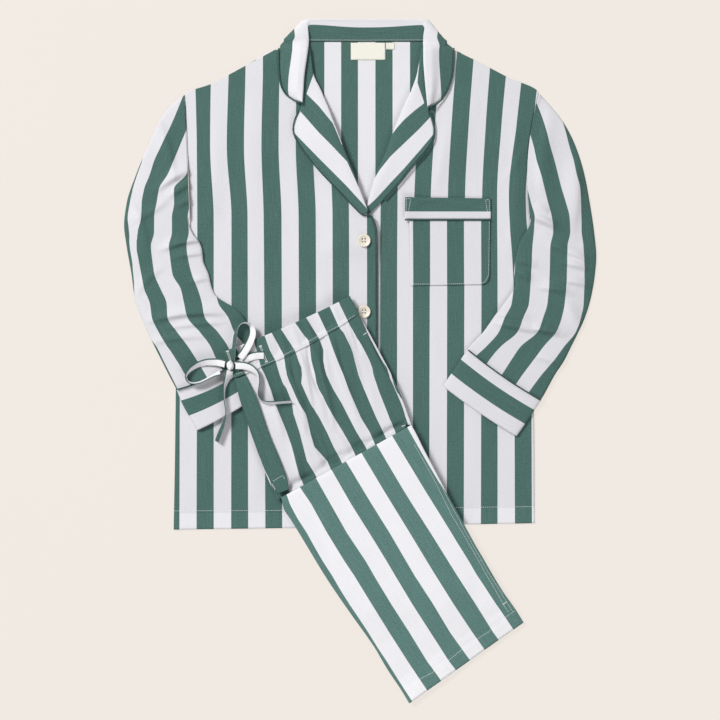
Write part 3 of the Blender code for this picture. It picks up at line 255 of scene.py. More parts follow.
def grid_between(outline, spacing, shares):
    """Plan of a panel: x, y and the distance along, between its left and its right edge. Rows
    of its outline hold left x and y, right x and y, and any bow downward, in mm."""
    moves = np.diff(outline[:, :4], axis=0)
    spans = np.maximum(np.hypot(moves[:, 0], moves[:, 1]), np.hypot(moves[:, 2], moves[:, 3]))
    knots = np.append(0.0, np.cumsum(spans))
    if isinstance(shares, int):
        shares = np.linspace(0.0, 1.0, shares + 1)
    along = np.linspace(0.0, knots[-1], int(math.ceil(knots[-1] / spacing)) + 1)
    values = smooth_through(knots, outline, along)
    left, right = values[:, None, 0:2], values[:, None, 2:4]
    plan = left + (right - left) * shares[None, :, None]
    if values.shape[1] > 4:
        length = np.hypot(*(right - left)[:, 0].T)[:, None]
        hang = values[:, 4:5] * 4.0 * shares * (1.0 - shares)
        plan[..., 0] += hang * (right - left)[..., 1] / length
        plan[..., 1] -= hang * (right - left)[..., 0] / length
    return plan[..., 0], plan[..., 1], along[:, None] + 0.0 * plan[..., 0]


def soft_folds(x, y, folds):
    """Height of listed folds: ridges, or troughs where the height is below nothing. Each
    falls away steeply on the right of its run and softly on the left. Rows of their table hold
    the run's start x and y, its end x and y, height, width and bend, in mm."""
    total = np.zeros_like(x)
    for from_x, from_y, to_x, to_y, height, width, bend in folds:
        run = np.array([to_x - from_x, to_y - from_y])
        length = np.hypot(*run)
        run /= length
        along = ((x - from_x) * run[0] + (y - from_y) * run[1]) / length
        held = np.clip(along, 0.0, 1.0)
        away = (y - from_y) * run[0] - (x - from_x) * run[1]
        away = away - bend * 4.0 * held * (1.0 - held)
        past = (along - held) * length
        fade = np.sin(math.pi * np.clip(0.06 + 0.88 * held, 0.0, 1.0)) ** 0.7
        side = np.where(away > 0.0, width, 0.5 * width)
        total += height * fade * np.exp(-(away / side) ** 2 - (past / width) ** 2)
    return total


def unevenness(x, y, seed, height, size):
    """The faint, random unevenness of cloth that was pressed and then handled."""
    draw = np.random.default_rng(seed)
    total = np.zeros_like(x)
    for turn, stretch, start in zip(draw.uniform(0, math.pi, 16), draw.uniform(0.55, 2.2, 16),
                                    draw.uniform(0, 2 * math.pi, 16)):
        wave = 2 * math.pi / (size * stretch)
        total += stretch * np.sin(wave * (x * math.cos(turn) + y * math.sin(turn)) + start)
    return total * height / 5.0


def shaped(solid, x, y, softness, folds, uneven):
    """Heights of a solid's upper side, with the folds and the unevenness of its cloth."""
    z = read_heights(top_of(solid, softness), x, y)
    if folds is not None:
        z = z + soft_folds(x, y, folds)
    if uneven is not None:
        z = z + unevenness(x, y, *uneven)
    return z


def laid_over(solid, x, y, softness=14, folds=None, uneven=None, over=SEAM_GAP + CLOTH):
    """Heights for a panel that takes a solid's place and clears what is under it."""
    return np.maximum(shaped(solid, x, y, softness, folds, uneven),
                      read_heights(cover(), x, y) + over)


def counted(across, edges, first):
    """Distance across the stripes, counted from where their edges lie. Green is even."""
    result = first * STRIPE + np.minimum(across - edges[..., 0], 0.0)
    for place in range(edges.shape[-1] - 1):
        share = (across - edges[..., place]) / (edges[..., place + 1] - edges[..., place])
        result += STRIPE * np.clip(share, 0.0, 1.0)
    return result + np.maximum(across - edges[..., -1], 0.0)


def stripes_across(x, y, lines, first=0):
    """Distance across the cut's stripes, in mm, from a table of where their edges lie: each
    row holds a level y, then the edges' x."""
    knots, edges = lines[:, 0], lines[:, 1:]
    if len(knots) > 1:
        edges = smooth_through(knots, edges, np.clip(y.ravel(), knots[0], knots[-1]))
    edges = np.broadcast_to(edges, (y.size, edges.shape[1])).reshape(*y.shape, -1)
    return counted(x, edges, first)


def new_piece(name, mesh, cloth, solid=None):
    """A smooth piece of the set and the solid that it stands for."""
    mesh.shade_smooth()
    mesh.materials.append(cloth)
    piece = bpy.data.objects.new(name, mesh)
    bpy.context.scene.collection.objects.link(piece)
    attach(piece, "root")
    if solid:
        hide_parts(solid)
    return piece


def quads(index, beside):
    """Faces between a grid's rows, each from a corner to the one beside it."""
    return np.stack([index[:-1], beside[:-1], beside[1:], index[1:]], axis=-1).reshape(-1, 4)


def sewn(name, solid, x, y, z, across, along, cloth, slot_name="striped_cloth",
         thickness=CLOTH, ring=False, lay=True):
    """A sheet of cloth through a grid of places in mm; a ring's last column meets its first.
    Its UV map holds the place in the flat cut, in metres."""
    places = np.stack([x + CENTRE[0], y + CENTRE[1], z], axis=-1).reshape(-1, 3) * MM
    index = np.arange(x.size).reshape(x.shape)
    faces = quads(index, np.roll(index, -1, axis=1)) if ring else quads(index[:, :-1], index[:, 1:])
    spot = np.arange(across.size).reshape(across.shape)
    spots = quads(spot[:, :-1], spot[:, 1:])
    first, second, third = (places[faces[:, corner]] for corner in (0, 1, 2))
    upward = np.cross(second - first, third - first)[:, 2]
    above = first[:, 2] - places[:, 2].mean() if ring else 1.0
    if (upward * above).sum() < 0:
        faces, spots = faces[:, ::-1], spots[:, ::-1]
    mesh = bpy.data.meshes.new(name)
    mesh.from_pydata(places.tolist(), [], faces.tolist())
    cut = np.stack([across, along], axis=-1).reshape(-1, 2) * MM
    mesh.uv_layers.new(name="cut").data.foreach_set("uv", cut[spots.ravel()].ravel())
    piece = new_piece(name, mesh, cloth, solid)
    wall = piece.modifiers.new("wall", "SOLIDIFY")
    wall.thickness = thickness * MM
    wall.offset = -1.0
    if lay:
        lay_down(x, y, z)
    return piece


weave = bpy.data.node_groups.new("poplin_weave", "ShaderNodeTree")
for socket_name, kind, way in (("Cut", "NodeSocketVector", "INPUT"),
                               ("Height", "NodeSocketFloat", "OUTPUT"),
                               ("Tone", "NodeSocketFloat", "OUTPUT")):
    weave.interface.new_socket(socket_name, in_out=way, socket_type=kind)
weave_cut = weave.nodes.new("NodeGroupInput").outputs["Cut"]
weave_axes = add_node(weave, "SeparateXYZ", {0: weave_cut})
waves, tones = {}, {}
for axis, threads in ((0, 2400.0), (1, 1700.0)):             # threads in a metre, each way
    turn = add_node(weave, "Math", {0: weave_axes[axis], 1: threads * math.pi},
                    operation="MULTIPLY")[0]
    waves[axis] = add_node(weave, "Math", {0: turn}, operation="SINE")[0]
for socket, spread, detail in (("A", (900.0, 26.0, 1.0), 3.0),      # slubs along the warp
                               ("B", (620.0, 420.0, 1.0), 2.0)):    # flecks
    place = add_node(weave, "Mapping", {"Vector": weave_cut, "Scale": spread})["Vector"]
    tones[socket] = add_node(weave, "TexNoise", {"Vector": place, "Scale": 1.0,
                                                 "Detail": detail})["Fac"]
join(weave, weave.nodes.new("NodeGroupOutput"), {
    "Height": add_node(weave, "Math", waves, operation="MULTIPLY")[0],
    "Tone": add_node(weave, "Mix", {"Factor": 0.6, **tones})["Result"]})


def woven(tree):
    """The cut of a cloth, and the weave's threads on it."""
    cut = add_node(tree, "UVMap", {}, uv_map="cut")["UV"]
    return cut, add_node(tree, "Group", {"Cut": cut}, node_tree=weave)


def striped_poplin(name, green, white, hem=0.0, fuller=1.1):
    """Yarn-dyed striped cotton: plain weave, crisp stripe edges, a little slub along it. Its
    hem is double, so less shows through it."""
    cloth, tree = new_material(name, {"Roughness": 0.82, "Specular IOR Level": 0.22,
                                      "Sheen Weight": 0.12, "Sheen Roughness": 0.5})
    cut, threads = woven(tree)
    parts = add_node(tree, "SeparateXYZ", {0: cut})
    wrapped = add_node(tree, "Math", {0: parts["X"], 1: 1.5 * STRIPE * MM,
                                      2: -0.5 * STRIPE * MM}, operation="WRAP")[0]
    centred = add_node(tree, "Math", {0: wrapped, 1: 0.5 * STRIPE * MM},
                       operation="SUBTRACT")[0]
    folded = add_node(tree, "Math", {0: centred}, operation="ABSOLUTE")[0]
    edge = add_node(tree, "MapRange", {
        "Value": folded, "From Min": (0.5 * STRIPE - 0.2) * MM,
        "From Max": (0.5 * STRIPE + 0.2) * MM})["Result"]
    stripe = {"Factor": edge}
    for socket, colour, uneven in (("A", green, 0.75), ("B", white, 0.12)):
        stripe[socket] = two_toned(tree, threads["Tone"],
                                   [channel * (1 - uneven) for channel in colour],
                                   [channel * (1 + uneven) for channel in colour])
    colour = add_node(tree, "Mix", stripe, data_type="RGBA")["Result"]
    if hem:
        doubled = add_node(tree, "MapRange", {
            "Value": parts["Y"], "From Min": (hem + 0.4) * MM, "From Max": (hem - 0.4) * MM,
            "To Min": 1.0, "To Max": fuller})["Result"]
        colour = add_node(tree, "HueSaturation", {"Value": doubled, "Color": colour})["Color"]
    normal = add_node(tree, "Bump", {"Strength": 0.35, "Distance": 0.00012,
                                     "Height": threads["Height"]})["Normal"]
    join(tree, tree.nodes["Principled BSDF"], {"Base Color": colour, "Normal": normal})
    return cloth


jacket_cotton = striped_poplin("jacket_cotton", (0.066, 0.139, 0.122), (0.705, 0.70, 0.732))
# A lighter copy of the jacket cloth, for the back, the lapels and the collar: painted light, where
# these lie brighter than the fronts.
lit_jacket_cotton = striped_poplin("lit_jacket_cotton", (0.070, 0.147, 0.128), (0.77, 0.765, 0.795))

BACK = table(
    (-263, -237, 242.8, -228), (-261, -120, 242.2, -110), (-259.5, 0, 240, 5), (-258, 60, 239, 60),
    (-255, 100, 238.5, 100), (-249, 140, 238, 140), (-240, 198, 236.8, 201),
    (-241.5, 265, 232, 270), (-243, 300, 231.5, 300), (-247, 345, 235, 348),
    (-246.5, 371, 247.5, 373.5), (-209, 388, 204, 397), (-162, 413, 156, 422),
    (-121, 435, 128, 435), (-98, 438, 108, 438), (-80, 446, 92, 446))
BACK_EDGES = table((0, -76, -52, -28.5, -5, 19.5, 43.5, 68, 92))
x, y, along = grid_between(BACK, 6.0, 84)
z = laid_over("back_panel", x, y, uneven=(3, 0.12, 60.0))
jacket_back = sewn("jacket_back", "back_panel", x, y, z, stripes_across(x, y, BACK_EDGES), along,
                   lit_jacket_cotton, thickness=0.8)

# --- Neck label and size tab ---
# Plain woven tapes, sewn under the back neck seam. They are bare.
def plain_woven(name, surface, first, second):
    """Plain cloth, its threads between two colours."""
    cloth, tree = new_material(name, surface)
    colour = two_toned(tree, woven(tree)[1]["Tone"], first, second)
    join(tree, tree.nodes["Principled BSDF"], {"Base Color": colour})
    return cloth


label_weave = plain_woven("label_weave", {"Roughness": 0.7, "Sheen Weight": 0.1},
                          (0.78, 0.77, 0.66), (0.86, 0.85, 0.76))
LABEL = table((-15, 421, 33.5, 421), (-15, 445, 33.5, 445))
SIZE_TAB = table((34.3, 435.5, 46, 435.5), (34.3, 445, 46, 445))
neck_tapes = []
for name, solid, outline in (("woven_neck_label", "neck_label", LABEL),
                             ("woven_size_tab", "size_tab", SIZE_TAB)):
    x, y, along = grid_between(outline, 2.0, 20)
    z = read_heights(cover(), x, y) + 0.7 + 0.35 * np.sin((x + y) * 0.21) ** 2
    neck_tapes.append(sewn(name, solid, x, y, z, x, y, label_weave, "label_tape",
                           thickness=0.35))

# --- Front on the right-hand side, and its lapel ---
# The under front of the closure. Its facing is turned out above the top button as a lapel,
# which lies flat and rolls at the fold. The stripes of the facing follow its outer edge.
def along_lines(x, y, turned, lines):
    """Distance across the stripes from the lines, drawn through points, where they meet."""
    turn = math.radians(turned)
    across = x * math.cos(turn) + y * math.sin(turn)
    level = y * math.cos(turn) - x * math.sin(turn)
    edges = []
    for line in lines:
        line = np.array(line, float)
        line_across = line[:, 0] * math.cos(turn) + line[:, 1] * math.sin(turn)
        line_level = line[:, 1] * math.cos(turn) - line[:, 0] * math.sin(turn)
        order = np.argsort(line_level)
        edges.append(np.interp(level, line_level[order], line_across[order]))
    return counted(across, np.stack(edges, axis=-1), 1)


def curled(x, y, z, across, along, radius, *sides, turns=(0.2, 0.45, 0.7, 1.0)):
    """Continues a sheet round and under at some of its sides, as folded cloth turns."""
    parts = [x, y, z, across, along]
    for side in sides:
        faced = {"left": np.fliplr, "right": np.asarray, "end": np.transpose}[side]
        x, y, z, across, along = parts = [faced(part) for part in parts]
        run_x, run_y = x[:, -1] - x[:, -2], y[:, -1] - y[:, -2]
        length = np.hypot(run_x, run_y)
        for turn in turns:
            angle = turn * math.pi
            added = (x[:, -1] + run_x / length * radius * math.sin(angle),
                     y[:, -1] + run_y / length * radius * math.sin(angle),
                     z[:, -1] - radius * (1 - math.cos(angle)),
                     across[:, -1] + (across[:, -1] - across[:, -2]) * radius * angle / length,
                     along[:, -1] + (along[:, -1] - along[:, -2]) * radius * angle / length)
            parts = [np.column_stack(pair) for pair in zip(parts, added)]
        parts = [faced(part) for part in parts]
    return parts


def lapel(name, solid, outline, columns, roll_side, seed, turned, lines):
    """A facing that is turned out, lies flat and rolls under at the fold; with its grid."""
    x, y, along = grid_between(outline, 2.4, columns)
    x, y, drop, _, along = curled(x, y, 0 * x, 0 * x, along, 1.4, roll_side,
                                  turns=(0.35, 0.75, 1.0))
    z = laid_over(solid, x, y, softness=8, uneven=(seed, 0.2, 50.0)) + drop
    z = np.maximum(z, read_heights(cover(1), x, y) + 0.4)
    piece = sewn(name, solid, x, y, z, along_lines(x, y, turned, lines), along, lit_jacket_cotton)
    return piece, np.stack([x, y, z], axis=-1)


FRONT_LEFT = table(
    (-8, -232, 242.8, -228), (-8, -118, 242.2, -110), (-8, 0, 240, 5), (-8, 60, 239, 60),
    (-8, 100, 238.5, 100), (-8, 140, 238, 140), (-7, 180, 237.5, 180), (1, 200, 236.8, 201),
    (9, 217, 234.8, 220), (23, 265, 232.9, 270), (38, 300, 234.4, 300), (55.5, 345, 242, 348),
    (67.5, 371, 248, 373.5), (75.5, 388, 204, 397), (82, 413, 156, 422), (85, 436, 128, 435))
FRONT_LEFT_EDGES = table(
    (-230, 26, 49.9, 72, 94.7, 119.4, 143.2, 167.2, 190.5, 215, 238.8, 262),
    (100, 26, 49.9, 72, 95.6, 120, 144, 168, 190.5, 213, 237, 261),
    (230, 27, 50.5, 74, 97, 121, 145, 169, 190, 206, 230, 254),
    (330, 33, 56, 80, 103, 126, 150, 174, 196, 217, 240, 264),
    (436, 41, 64, 88, 111, 134, 158, 182, 206, 229, 252, 276))
FRONT_LEFT_FOLDS = table(
    (214, 330, 205, 150, 1.4, 12, 6), (150, 380, 132, 240, 0.8, 16, -4),
    (118, 340, 104, 240, 1, 10, 3), (150, 90, 150, -190, 0.7, 22, 8),
    (100, 60, 118, -60, 0.5, 12, -5), (190, 60, 182, -60, 0.6, 10, 4),
    (228, 300, 196, 252, 0.8, 7, 3))
hemmed_cotton = striped_poplin("hemmed_cotton", (0.068, 0.143, 0.126), (0.715, 0.71, 0.742),
                               hem=22.5)
x, y, along = grid_between(FRONT_LEFT, 3.0, 84)
z = laid_over("front_left", x, y, folds=FRONT_LEFT_FOLDS, uneven=(11, 0.3, 70.0))
front_left = sewn("jacket_front_left", "front_left", x, y, z,
                  stripes_across(x, y, FRONT_LEFT_EDGES), along, hemmed_cotton)

LAPEL_LEFT = table(
    (8.7, 207, 12.5, 206.5), (8.7, 214, 20, 214), (11, 226, 31.5, 226), (17.8, 250, 53, 250),
    (25.8, 270, 68.5, 270), (36, 293, 89, 292), (43, 314, 100.5, 312), (47, 324, 101, 322),
    (52.5, 338, 97.5, 338), (57.5, 349, 94, 349), (63.5, 362, 94, 361), (71.5, 380, 98, 380),
    (78.5, 400, 100, 400), (83, 425, 99, 425), (85.5, 437, 97, 437))
LAPEL_LEFT_LINES = (
    ((101, 317), (80, 292), (60, 269), (40, 248), (20, 226), (8, 215)),
    ((96, 340), (80, 323), (60, 304), (40, 285), (25, 266), (19, 256)),
    ((83, 450), (78, 388), (88, 360), (75, 350), (60, 337), (50, 326), (44, 318)))
lapel_left, lapel_left_grid = lapel("jacket_lapel_left", "lapel_left", LAPEL_LEFT, 22, "left",
                                    12, 137.6, LAPEL_LEFT_LINES)

# --- Front on the left-hand side, and its lapel ---
# The upper front of the closure, with a corded piping let into its straight edge, and the
# lapel that crosses over the other one at the top button.
FRONT_RIGHT = table(
    (-263, -237, 21, -233), (-261, -120, 21, -118), (-259.5, 0, 21, 0), (-258, 60, 21, 60),
    (-255, 100, 21, 100), (-249, 140, 21, 142), (-243, 178, 20, 180), (-240, 198, 15, 198),
    (-240.8, 215, 5.5, 214), (-242.6, 265, -13.5, 265), (-244, 300, -27, 300),
    (-245.8, 345, -43.5, 345), (-246.8, 371, -54.5, 371), (-209, 388, -62, 388),
    (-162, 413, -70, 413), (-121, 435, -72.5, 436))
FRONT_RIGHT_EDGES = table(
    (-237, -279, -255, -231, -207, -182.5, -158.7, -134.6, -111, -87, -63, -40, -17, 8, 32),
    (200, -278, -254, -230, -207, -182, -159.5, -137, -112, -88, -64, -40.5, -17.5, 7.7, 31),
    (300, -278.5, -254.5, -230.5, -212, -188.5, -164.5, -140, -116, -92, -68, -44, -20, 4, 28),
    (400, -281, -257, -233, -211, -186, -162.5, -138, -115, -91, -67, -43, -19, 5, 29))
FRONT_RIGHT_FOLDS = table(
    (-205, 330, -215, 190, 1, 14, 5), (-150, 380, -150, 120, 0.8, 20, -6),
    (-96, 290, -90, 90, 0.8, 16, 4), (-150, -90, -150, -190, 0.6, 14, 3),
    (-228, 250, -205, 205, 0.7, 7, 2), (-60, 150, -48, 60, 0.5, 10, -3),
    (-215, -90, -222, -190, 0.6, 9, 3))
x, y, along = grid_between(FRONT_RIGHT, 3.0, 94)
z = laid_over("front_right", x, y, folds=FRONT_RIGHT_FOLDS, uneven=(13, 0.3, 70.0))
front_right = sewn("jacket_front_right", "front_right", x, y, z,
                   stripes_across(x, y, FRONT_RIGHT_EDGES), along, hemmed_cotton)
closing_edge = np.stack([x, y, z], axis=-1)[:, -1]

LAPEL_RIGHT = table(
    (2, 203.5, 8.5, 208), (-8, 213.5, 6, 214.5), (-20, 226, 1.5, 226.5), (-43, 250, -7.5, 250.5),
    (-60, 268.5, -14.5, 268.5), (-80, 293, -24.5, 293), (-91, 311, -32, 313),
    (-94.5, 323, -36, 324), (-92, 337, -41.5, 338), (-86.5, 349, -45.5, 349), (-84, 362, -51, 362),
    (-88, 380, -58.5, 380), (-90, 400, -68, 400), (-87, 425, -71.5, 425), (-83, 437, -73, 437))
LAPEL_RIGHT_LINES = (
    ((-94, 318), (-60, 283), (-40, 263), (-20, 243), (0, 221), (6, 214)),
    ((-86, 349), (-60, 319), (-40, 299), (-20, 278), (-5, 244)),
    ((-62, 450), (-67, 400), (-77, 373), (-60, 356), (-40, 331), (-28, 302)))
lapel_right, lapel_right_grid = lapel("jacket_lapel_right", "lapel_right", LAPEL_RIGHT, 24,
                                      "right", 14, 44.0, LAPEL_RIGHT_LINES)

# --- Chest pocket ---
# A patch sewn round its sides and foot, under a turned band whose stripes run across it, with
# the same corded piping let in below the band.
CORD_RADIUS = 1.05             # mm
CORD_SIDES = 8                 # of the many-sided section that stands for a round one


def run_along(line):
    """How far along a line each of its points lies, in plan."""
    return np.append(0.0, np.cumsum(np.hypot(*np.diff(line[:, :2], axis=0).T)))


def eased(line, times):
    """A line with its corners drawn in, some number of times."""
    for _ in range(times):
        line[1:-1] = 0.25 * line[:-2] + 0.5 * line[1:-1] + 0.25 * line[2:]
    return line


def moved_off(line, off):
    """A line moved to its right in plan."""
    run = np.gradient(line[:, :2], axis=0)
    run /= np.hypot(run[:, 0], run[:, 1])[:, None]
    return line + np.column_stack([run[:, 1] * off, -run[:, 0] * off, 0.0 * run[:, 0]])


def beside_and_above(line):
    """The directions to the right of a line and above it, at each of its points."""
    run = np.gradient(line, axis=0)
    run /= np.linalg.norm(run, axis=1)[:, None]
    beside = np.cross(run, (0.0, 0.0, 1.0))
    beside /= np.linalg.norm(beside, axis=1)[:, None]
    return beside, np.cross(beside, run)


def turn_outward(mesh):
    """Makes all faces of a closed mesh look outward."""
    shape = bmesh.new()
    shape.from_mesh(mesh)
    bmesh.ops.recalc_face_normals(shape, faces=shape.faces)
    shape.to_mesh(mesh)
    shape.free()


def tube(name, solid, line, wide, thick, section, along, around, cloth, slot_name):
    """A closed tube with a section along a line in mm, its ends closed with a point."""
    rings = (line[:, None] + wide[:, None] * section[0][None, :, None]
             + thick[:, None] * section[1][None, :, None])
    count, sides = rings.shape[:2]
    places = np.concatenate([rings.reshape(-1, 3), rings[:1].mean(axis=1),
                             rings[-1:].mean(axis=1)])
    places = (places + (*CENTRE, 0.0)) * MM
    index = np.arange(count * sides).reshape(count, sides)
    beside = np.roll(index, -1, axis=1)
    faces = quads(index, beside).tolist()
    for tip, ring in ((count * sides, 0), (count * sides + 1, -1)):
        faces += [[tip, near, far] for near, far in zip(index[ring], beside[ring])]
    mesh = bpy.data.meshes.new(name)
    mesh.from_pydata(places.tolist(), [], faces)
    cut = np.column_stack([np.append(np.tile(around, count), [0.0, 0.0]),
                           np.append(np.repeat(along, sides), [along[0], along[-1]])]) * MM
    corners = np.concatenate([np.array(face) for face in faces])
    mesh.uv_layers.new(name="cut").data.foreach_set("uv", cut[corners].ravel())
    turn_outward(mesh)
    return new_piece(name, mesh, cloth, solid)


def corded(name, solid, line):
    """A round cord covered with dark green cotton, laid along a line."""
    knots = run_along(line)
    at = np.linspace(0.0, knots[-1], int(knots[-1] / 2.2) + 2)
    line = np.stack([np.interp(at, knots, line[:, axis]) for axis in range(3)], axis=1)
    bed = read_heights(cover(1), line[:, 0], line[:, 1]) + CORD_RADIUS + 0.1
    line[:, 2] = np.maximum(line[:, 2] - 0.3, bed)
    line = eased(line, 4)
    turn = np.arange(CORD_SIDES) * 2 * math.pi / CORD_SIDES
    section = (CORD_RADIUS * np.cos(turn), CORD_RADIUS * np.sin(turn))
    return tube(name, solid, line, *beside_and_above(line), section, at,
                np.arange(CORD_SIDES) * 0.9, piping_cotton, "piping")


piping_cotton = plain_woven(
    "piping_cotton", {"Roughness": 0.6, "Specular IOR Level": 0.3, "Sheen Weight": 0.1},
    (0.022, 0.062, 0.052), (0.036, 0.094, 0.080))

POCKET = table(
    (68, 104.5, 170, 106.5), (68, 107, 174.5, 108.5), (68, 112, 177.8, 112), (68, 120, 179.5, 120),
    (67.5, 160, 180, 160), (67, 197, 180.5, 197))
POCKET_EDGES = table(
    (105, 72.5, 96, 119.8, 143.6, 167.8), (196, 72, 96, 119.6, 143.4, 167.4))
x, y, along = grid_between(POCKET, 2.5, 44)
z = laid_over("pocket", x, y, softness=8, uneven=(21, 0.15, 50.0), over=CLOTH + 0.1)
pocket = sewn("chest_pocket", "pocket", x, y, z, stripes_across(x, y, POCKET_EDGES), along,
              jacket_cotton, thickness=0.5)

POCKET_BAND = table(
    (60.6, 198, 181, 198), (60.8, 208.5, 181.2, 208.5), (61, 219, 181, 219),
    (61.2, 228.5, 180.5, 226.8))
BAND_STRIPE = 208.5            # level of the green stripe's edge across the band
PIPING_OFF = 1.3               # from an edge to the middle of its piping, mm
x, y, along = grid_between(POCKET_BAND, 2.0, 48)
z = laid_over("pocket_band", x, y, softness=6, uneven=(22, 0.12, 40.0), over=CLOTH + 0.3)
pocket_band = sewn("chest_pocket_band", "pocket_band", x, y, z, STRIPE + BAND_STRIPE - y, x,
                   jacket_cotton, thickness=0.9)
band_foot = np.stack([x, y, z], axis=-1)[0]
corded("pocket_piping_cord", "pocket_piping", moved_off(band_foot, PIPING_OFF))

# --- Piping of the lapels and of the closing edge ---
# One cord runs up the closing edge and round the crossing lapel to its notch, another round
# the lapel beneath.
CROSSING_LEVEL = 203.0         # where the closing edge goes over into the lapel's
BENEATH_LEVEL = 224.0          # where the lapel beneath comes out
NOTCH_LEVEL = 349.5            # where both lapels end in their notches


def stretch_of(line, lowest, highest):
    """The points of a line between two levels."""
    return line[(line[:, 1] >= lowest) & (line[:, 1] <= highest)]


straight = moved_off(closing_edge[closing_edge[:, 1] < CROSSING_LEVEL], PIPING_OFF)
crossing = stretch_of(lapel_right_grid[:, 0], CROSSING_LEVEL, NOTCH_LEVEL)
corded("front_piping_cord_right", "front_piping_right",
       np.concatenate([straight, moved_off(crossing, -PIPING_OFF)]))
beneath = stretch_of(lapel_left_grid[:, -1], BENEATH_LEVEL, NOTCH_LEVEL)
corded("front_piping_cord_left", "front_piping_left", moved_off(beneath, PIPING_OFF))

# --- Collar ---
# A notch collar of striped poplin in one piece: the stand rises from the neck seam, rolls,
# and falls on the fronts. At the back neck the fall lies under the stand.
# Rows of its table go round the neck, and hold the x and y of the seam, the roll, the bend and
# the edge, and how far the fall is tucked under.
COLLAR = table(
    (-85, 365, -82, 360.5, -91, 363.5, -104, 371.5, 0),
    (-89, 380, -81, 376, -98, 379.5, -111, 383.5, 0),
    (-90, 400, -79.5, 398, -98, 399, -113.8, 399, 0),
    (-88, 424, -76, 423, -97, 424, -114.8, 422, 0),
    (-87, 440, -73.5, 444, -98, 442, -114, 440.5, 0),
    (-86.5, 442.5, -73.5, 448, -105.5, 446, -111.5, 444.5, 0.25),
    (-86, 444, -73.5, 451.5, -109, 449, -108, 447.5, 0.7),
    (-84, 445.5, -74, 457, -105.5, 453, -99, 449, 1),
    (-79, 446.5, -75, 467, -92.5, 466, -86, 449, 1),
    (-72, 446.5, -73, 474, -77, 477.8, -72, 445, 1),
    (-50, 446.5, -50, 475.5, -50, 478.4, -50, 441, 1),
    (-25, 446.5, -25, 475, -25, 478, -25, 441, 1), (0, 446.5, 0, 474.6, 0, 477.6, 0, 441, 1),
    (30, 446.5, 30, 474.6, 30, 477.6, 30, 441, 1), (58, 446.5, 60, 474.8, 60, 477.8, 58, 441, 1),
    (84, 446.5, 86, 473.5, 90.5, 477.4, 84, 445, 1), (93, 446.5, 88, 465, 107, 460.5, 100, 449, 1),
    (98.6, 446, 86.5, 455, 115.5, 451, 110, 448, 1),
    (99.4, 443, 86.2, 449.5, 120, 446.5, 118.6, 444.5, 0.7),
    (99.8, 440.5, 86, 445.5, 117, 442.5, 124.5, 440.5, 0.25),
    (100, 437, 86, 441, 112, 438, 128, 436.5, 0), (99, 422, 86, 424, 110, 424, 128.2, 422, 0),
    (98, 400, 87.5, 399, 109, 400, 126.5, 401, 0), (96.5, 378, 90, 373, 106, 377, 120.5, 379.5, 0),
    (95, 360, 92, 354.5, 101, 358, 112, 365.5, 0))
# Rows of its section hold the stretch (seam to roll, roll to bend, bend to edge), how far along
# it and how high, where the fall lies on the fronts, and the same where it is tucked under.
COLLAR_SECTION = table(
    (0, 0, 0.8, 0, 2.3), (0, 0.5, 1.6, 0.5, 5.2), (0, 1, 3.8, 1, 8.4), (1, 0.14, 6.2, 0.3, 8.8),
    (1, 0.45, 6.8, 0.75, 7.8), (2, 0, 4.8, 0, 5), (2, 0.35, 3.4, 0.05, 1.7),
    (2, 0.7, 2, 0.35, 0.7), (2, 1, 1, 1, 0.7))
COLLAR_FINENESS = 41           # places across the collar
ROLL_PLACE = 10                # the one where it rolls over
PIPED_FROM = 14                # the one at which the piping of its front end starts
TUCK_LEVEL = 438.0             # above it the fall's edge goes under the stand
RIM_MIDDLE, RIM_REACH = 6.0, 80.0          # of the rim at the back neck, in x
spans = np.maximum(np.hypot(*np.diff(COLLAR[:, 2:4], axis=0).T),
                   np.hypot(*np.diff(COLLAR[:, 4:6], axis=0).T))
knots = np.append(0.0, np.cumsum(np.maximum(spans, 6.0)))
along = np.linspace(0.0, knots[-1], int(knots[-1] / 2.6))
rows = smooth_through(knots, COLLAR, along)
corners = [rows[:, place:place + 2] for place in (0, 2, 4, 6)]
tucked = rows[:, 8:]
plan = []
for stretch, on_top, _, under, _ in COLLAR_SECTION:
    start, end = corners[int(stretch)], corners[int(stretch) + 1]
    plan.append(start + (end - start) * (on_top * (1 - tucked) + under * tucked))
plan = np.stack(plan, axis=1)
bed = read_heights(cover(), plan[..., 0], plan[..., 1])
heights = (bed + COLLAR_SECTION[:, 2]) * (1 - tucked) + COLLAR_SECTION[:, 4] * tucked
section = np.concatenate([plan, heights[..., None]], axis=2).transpose(1, 0, 2)
section = smooth_through(np.arange(9.0), section.reshape(9, -1),
                         np.linspace(0.0, 8.0, COLLAR_FINENESS))
section = section.reshape(COLLAR_FINENESS, -1, 3).transpose(1, 0, 2)
x, y, z = section[..., 0], section[..., 1], section[..., 2]
steps = np.linalg.norm(np.diff(section, axis=1), axis=2)
distance = np.concatenate([np.zeros((len(along), 1)), np.cumsum(steps, axis=1)], axis=1)
from_roll = distance - distance[:, ROLL_PLACE, None]
z = z + unevenness(x, y, 31, 0.15, 45.0) * np.clip(
    np.linspace(0, 3, COLLAR_FINENESS) - 0.5, 0, 1)
rim_sag = np.clip(1.0 - ((rows[:, 2:3] - RIM_MIDDLE) / RIM_REACH) ** 2, 0.0, 1.0)
across = STRIPE + from_roll + (4.6 + 4.2 * rim_sag) * tucked - 0.5 * (1 - tucked)
collar = sewn("jacket_collar", "collar", x, y, z, across, along[:, None] + 0 * x, lit_jacket_cotton,
              thickness=0.8)
collar_grid = np.stack([x, y, z], axis=2)
for side, off, rows in (("right", -PIPING_OFF, collar_grid),
                        ("left", PIPING_OFF, collar_grid[::-1])):
    on_front = int(np.argmax(rows[:, -1, 1] > TUCK_LEVEL))
    edge = np.concatenate([rows[0, PIPED_FROM:], rows[1:on_front, -1]])
    corded(f"collar_piping_cord_{side}", f"collar_piping_{side}", moved_off(edge, off))

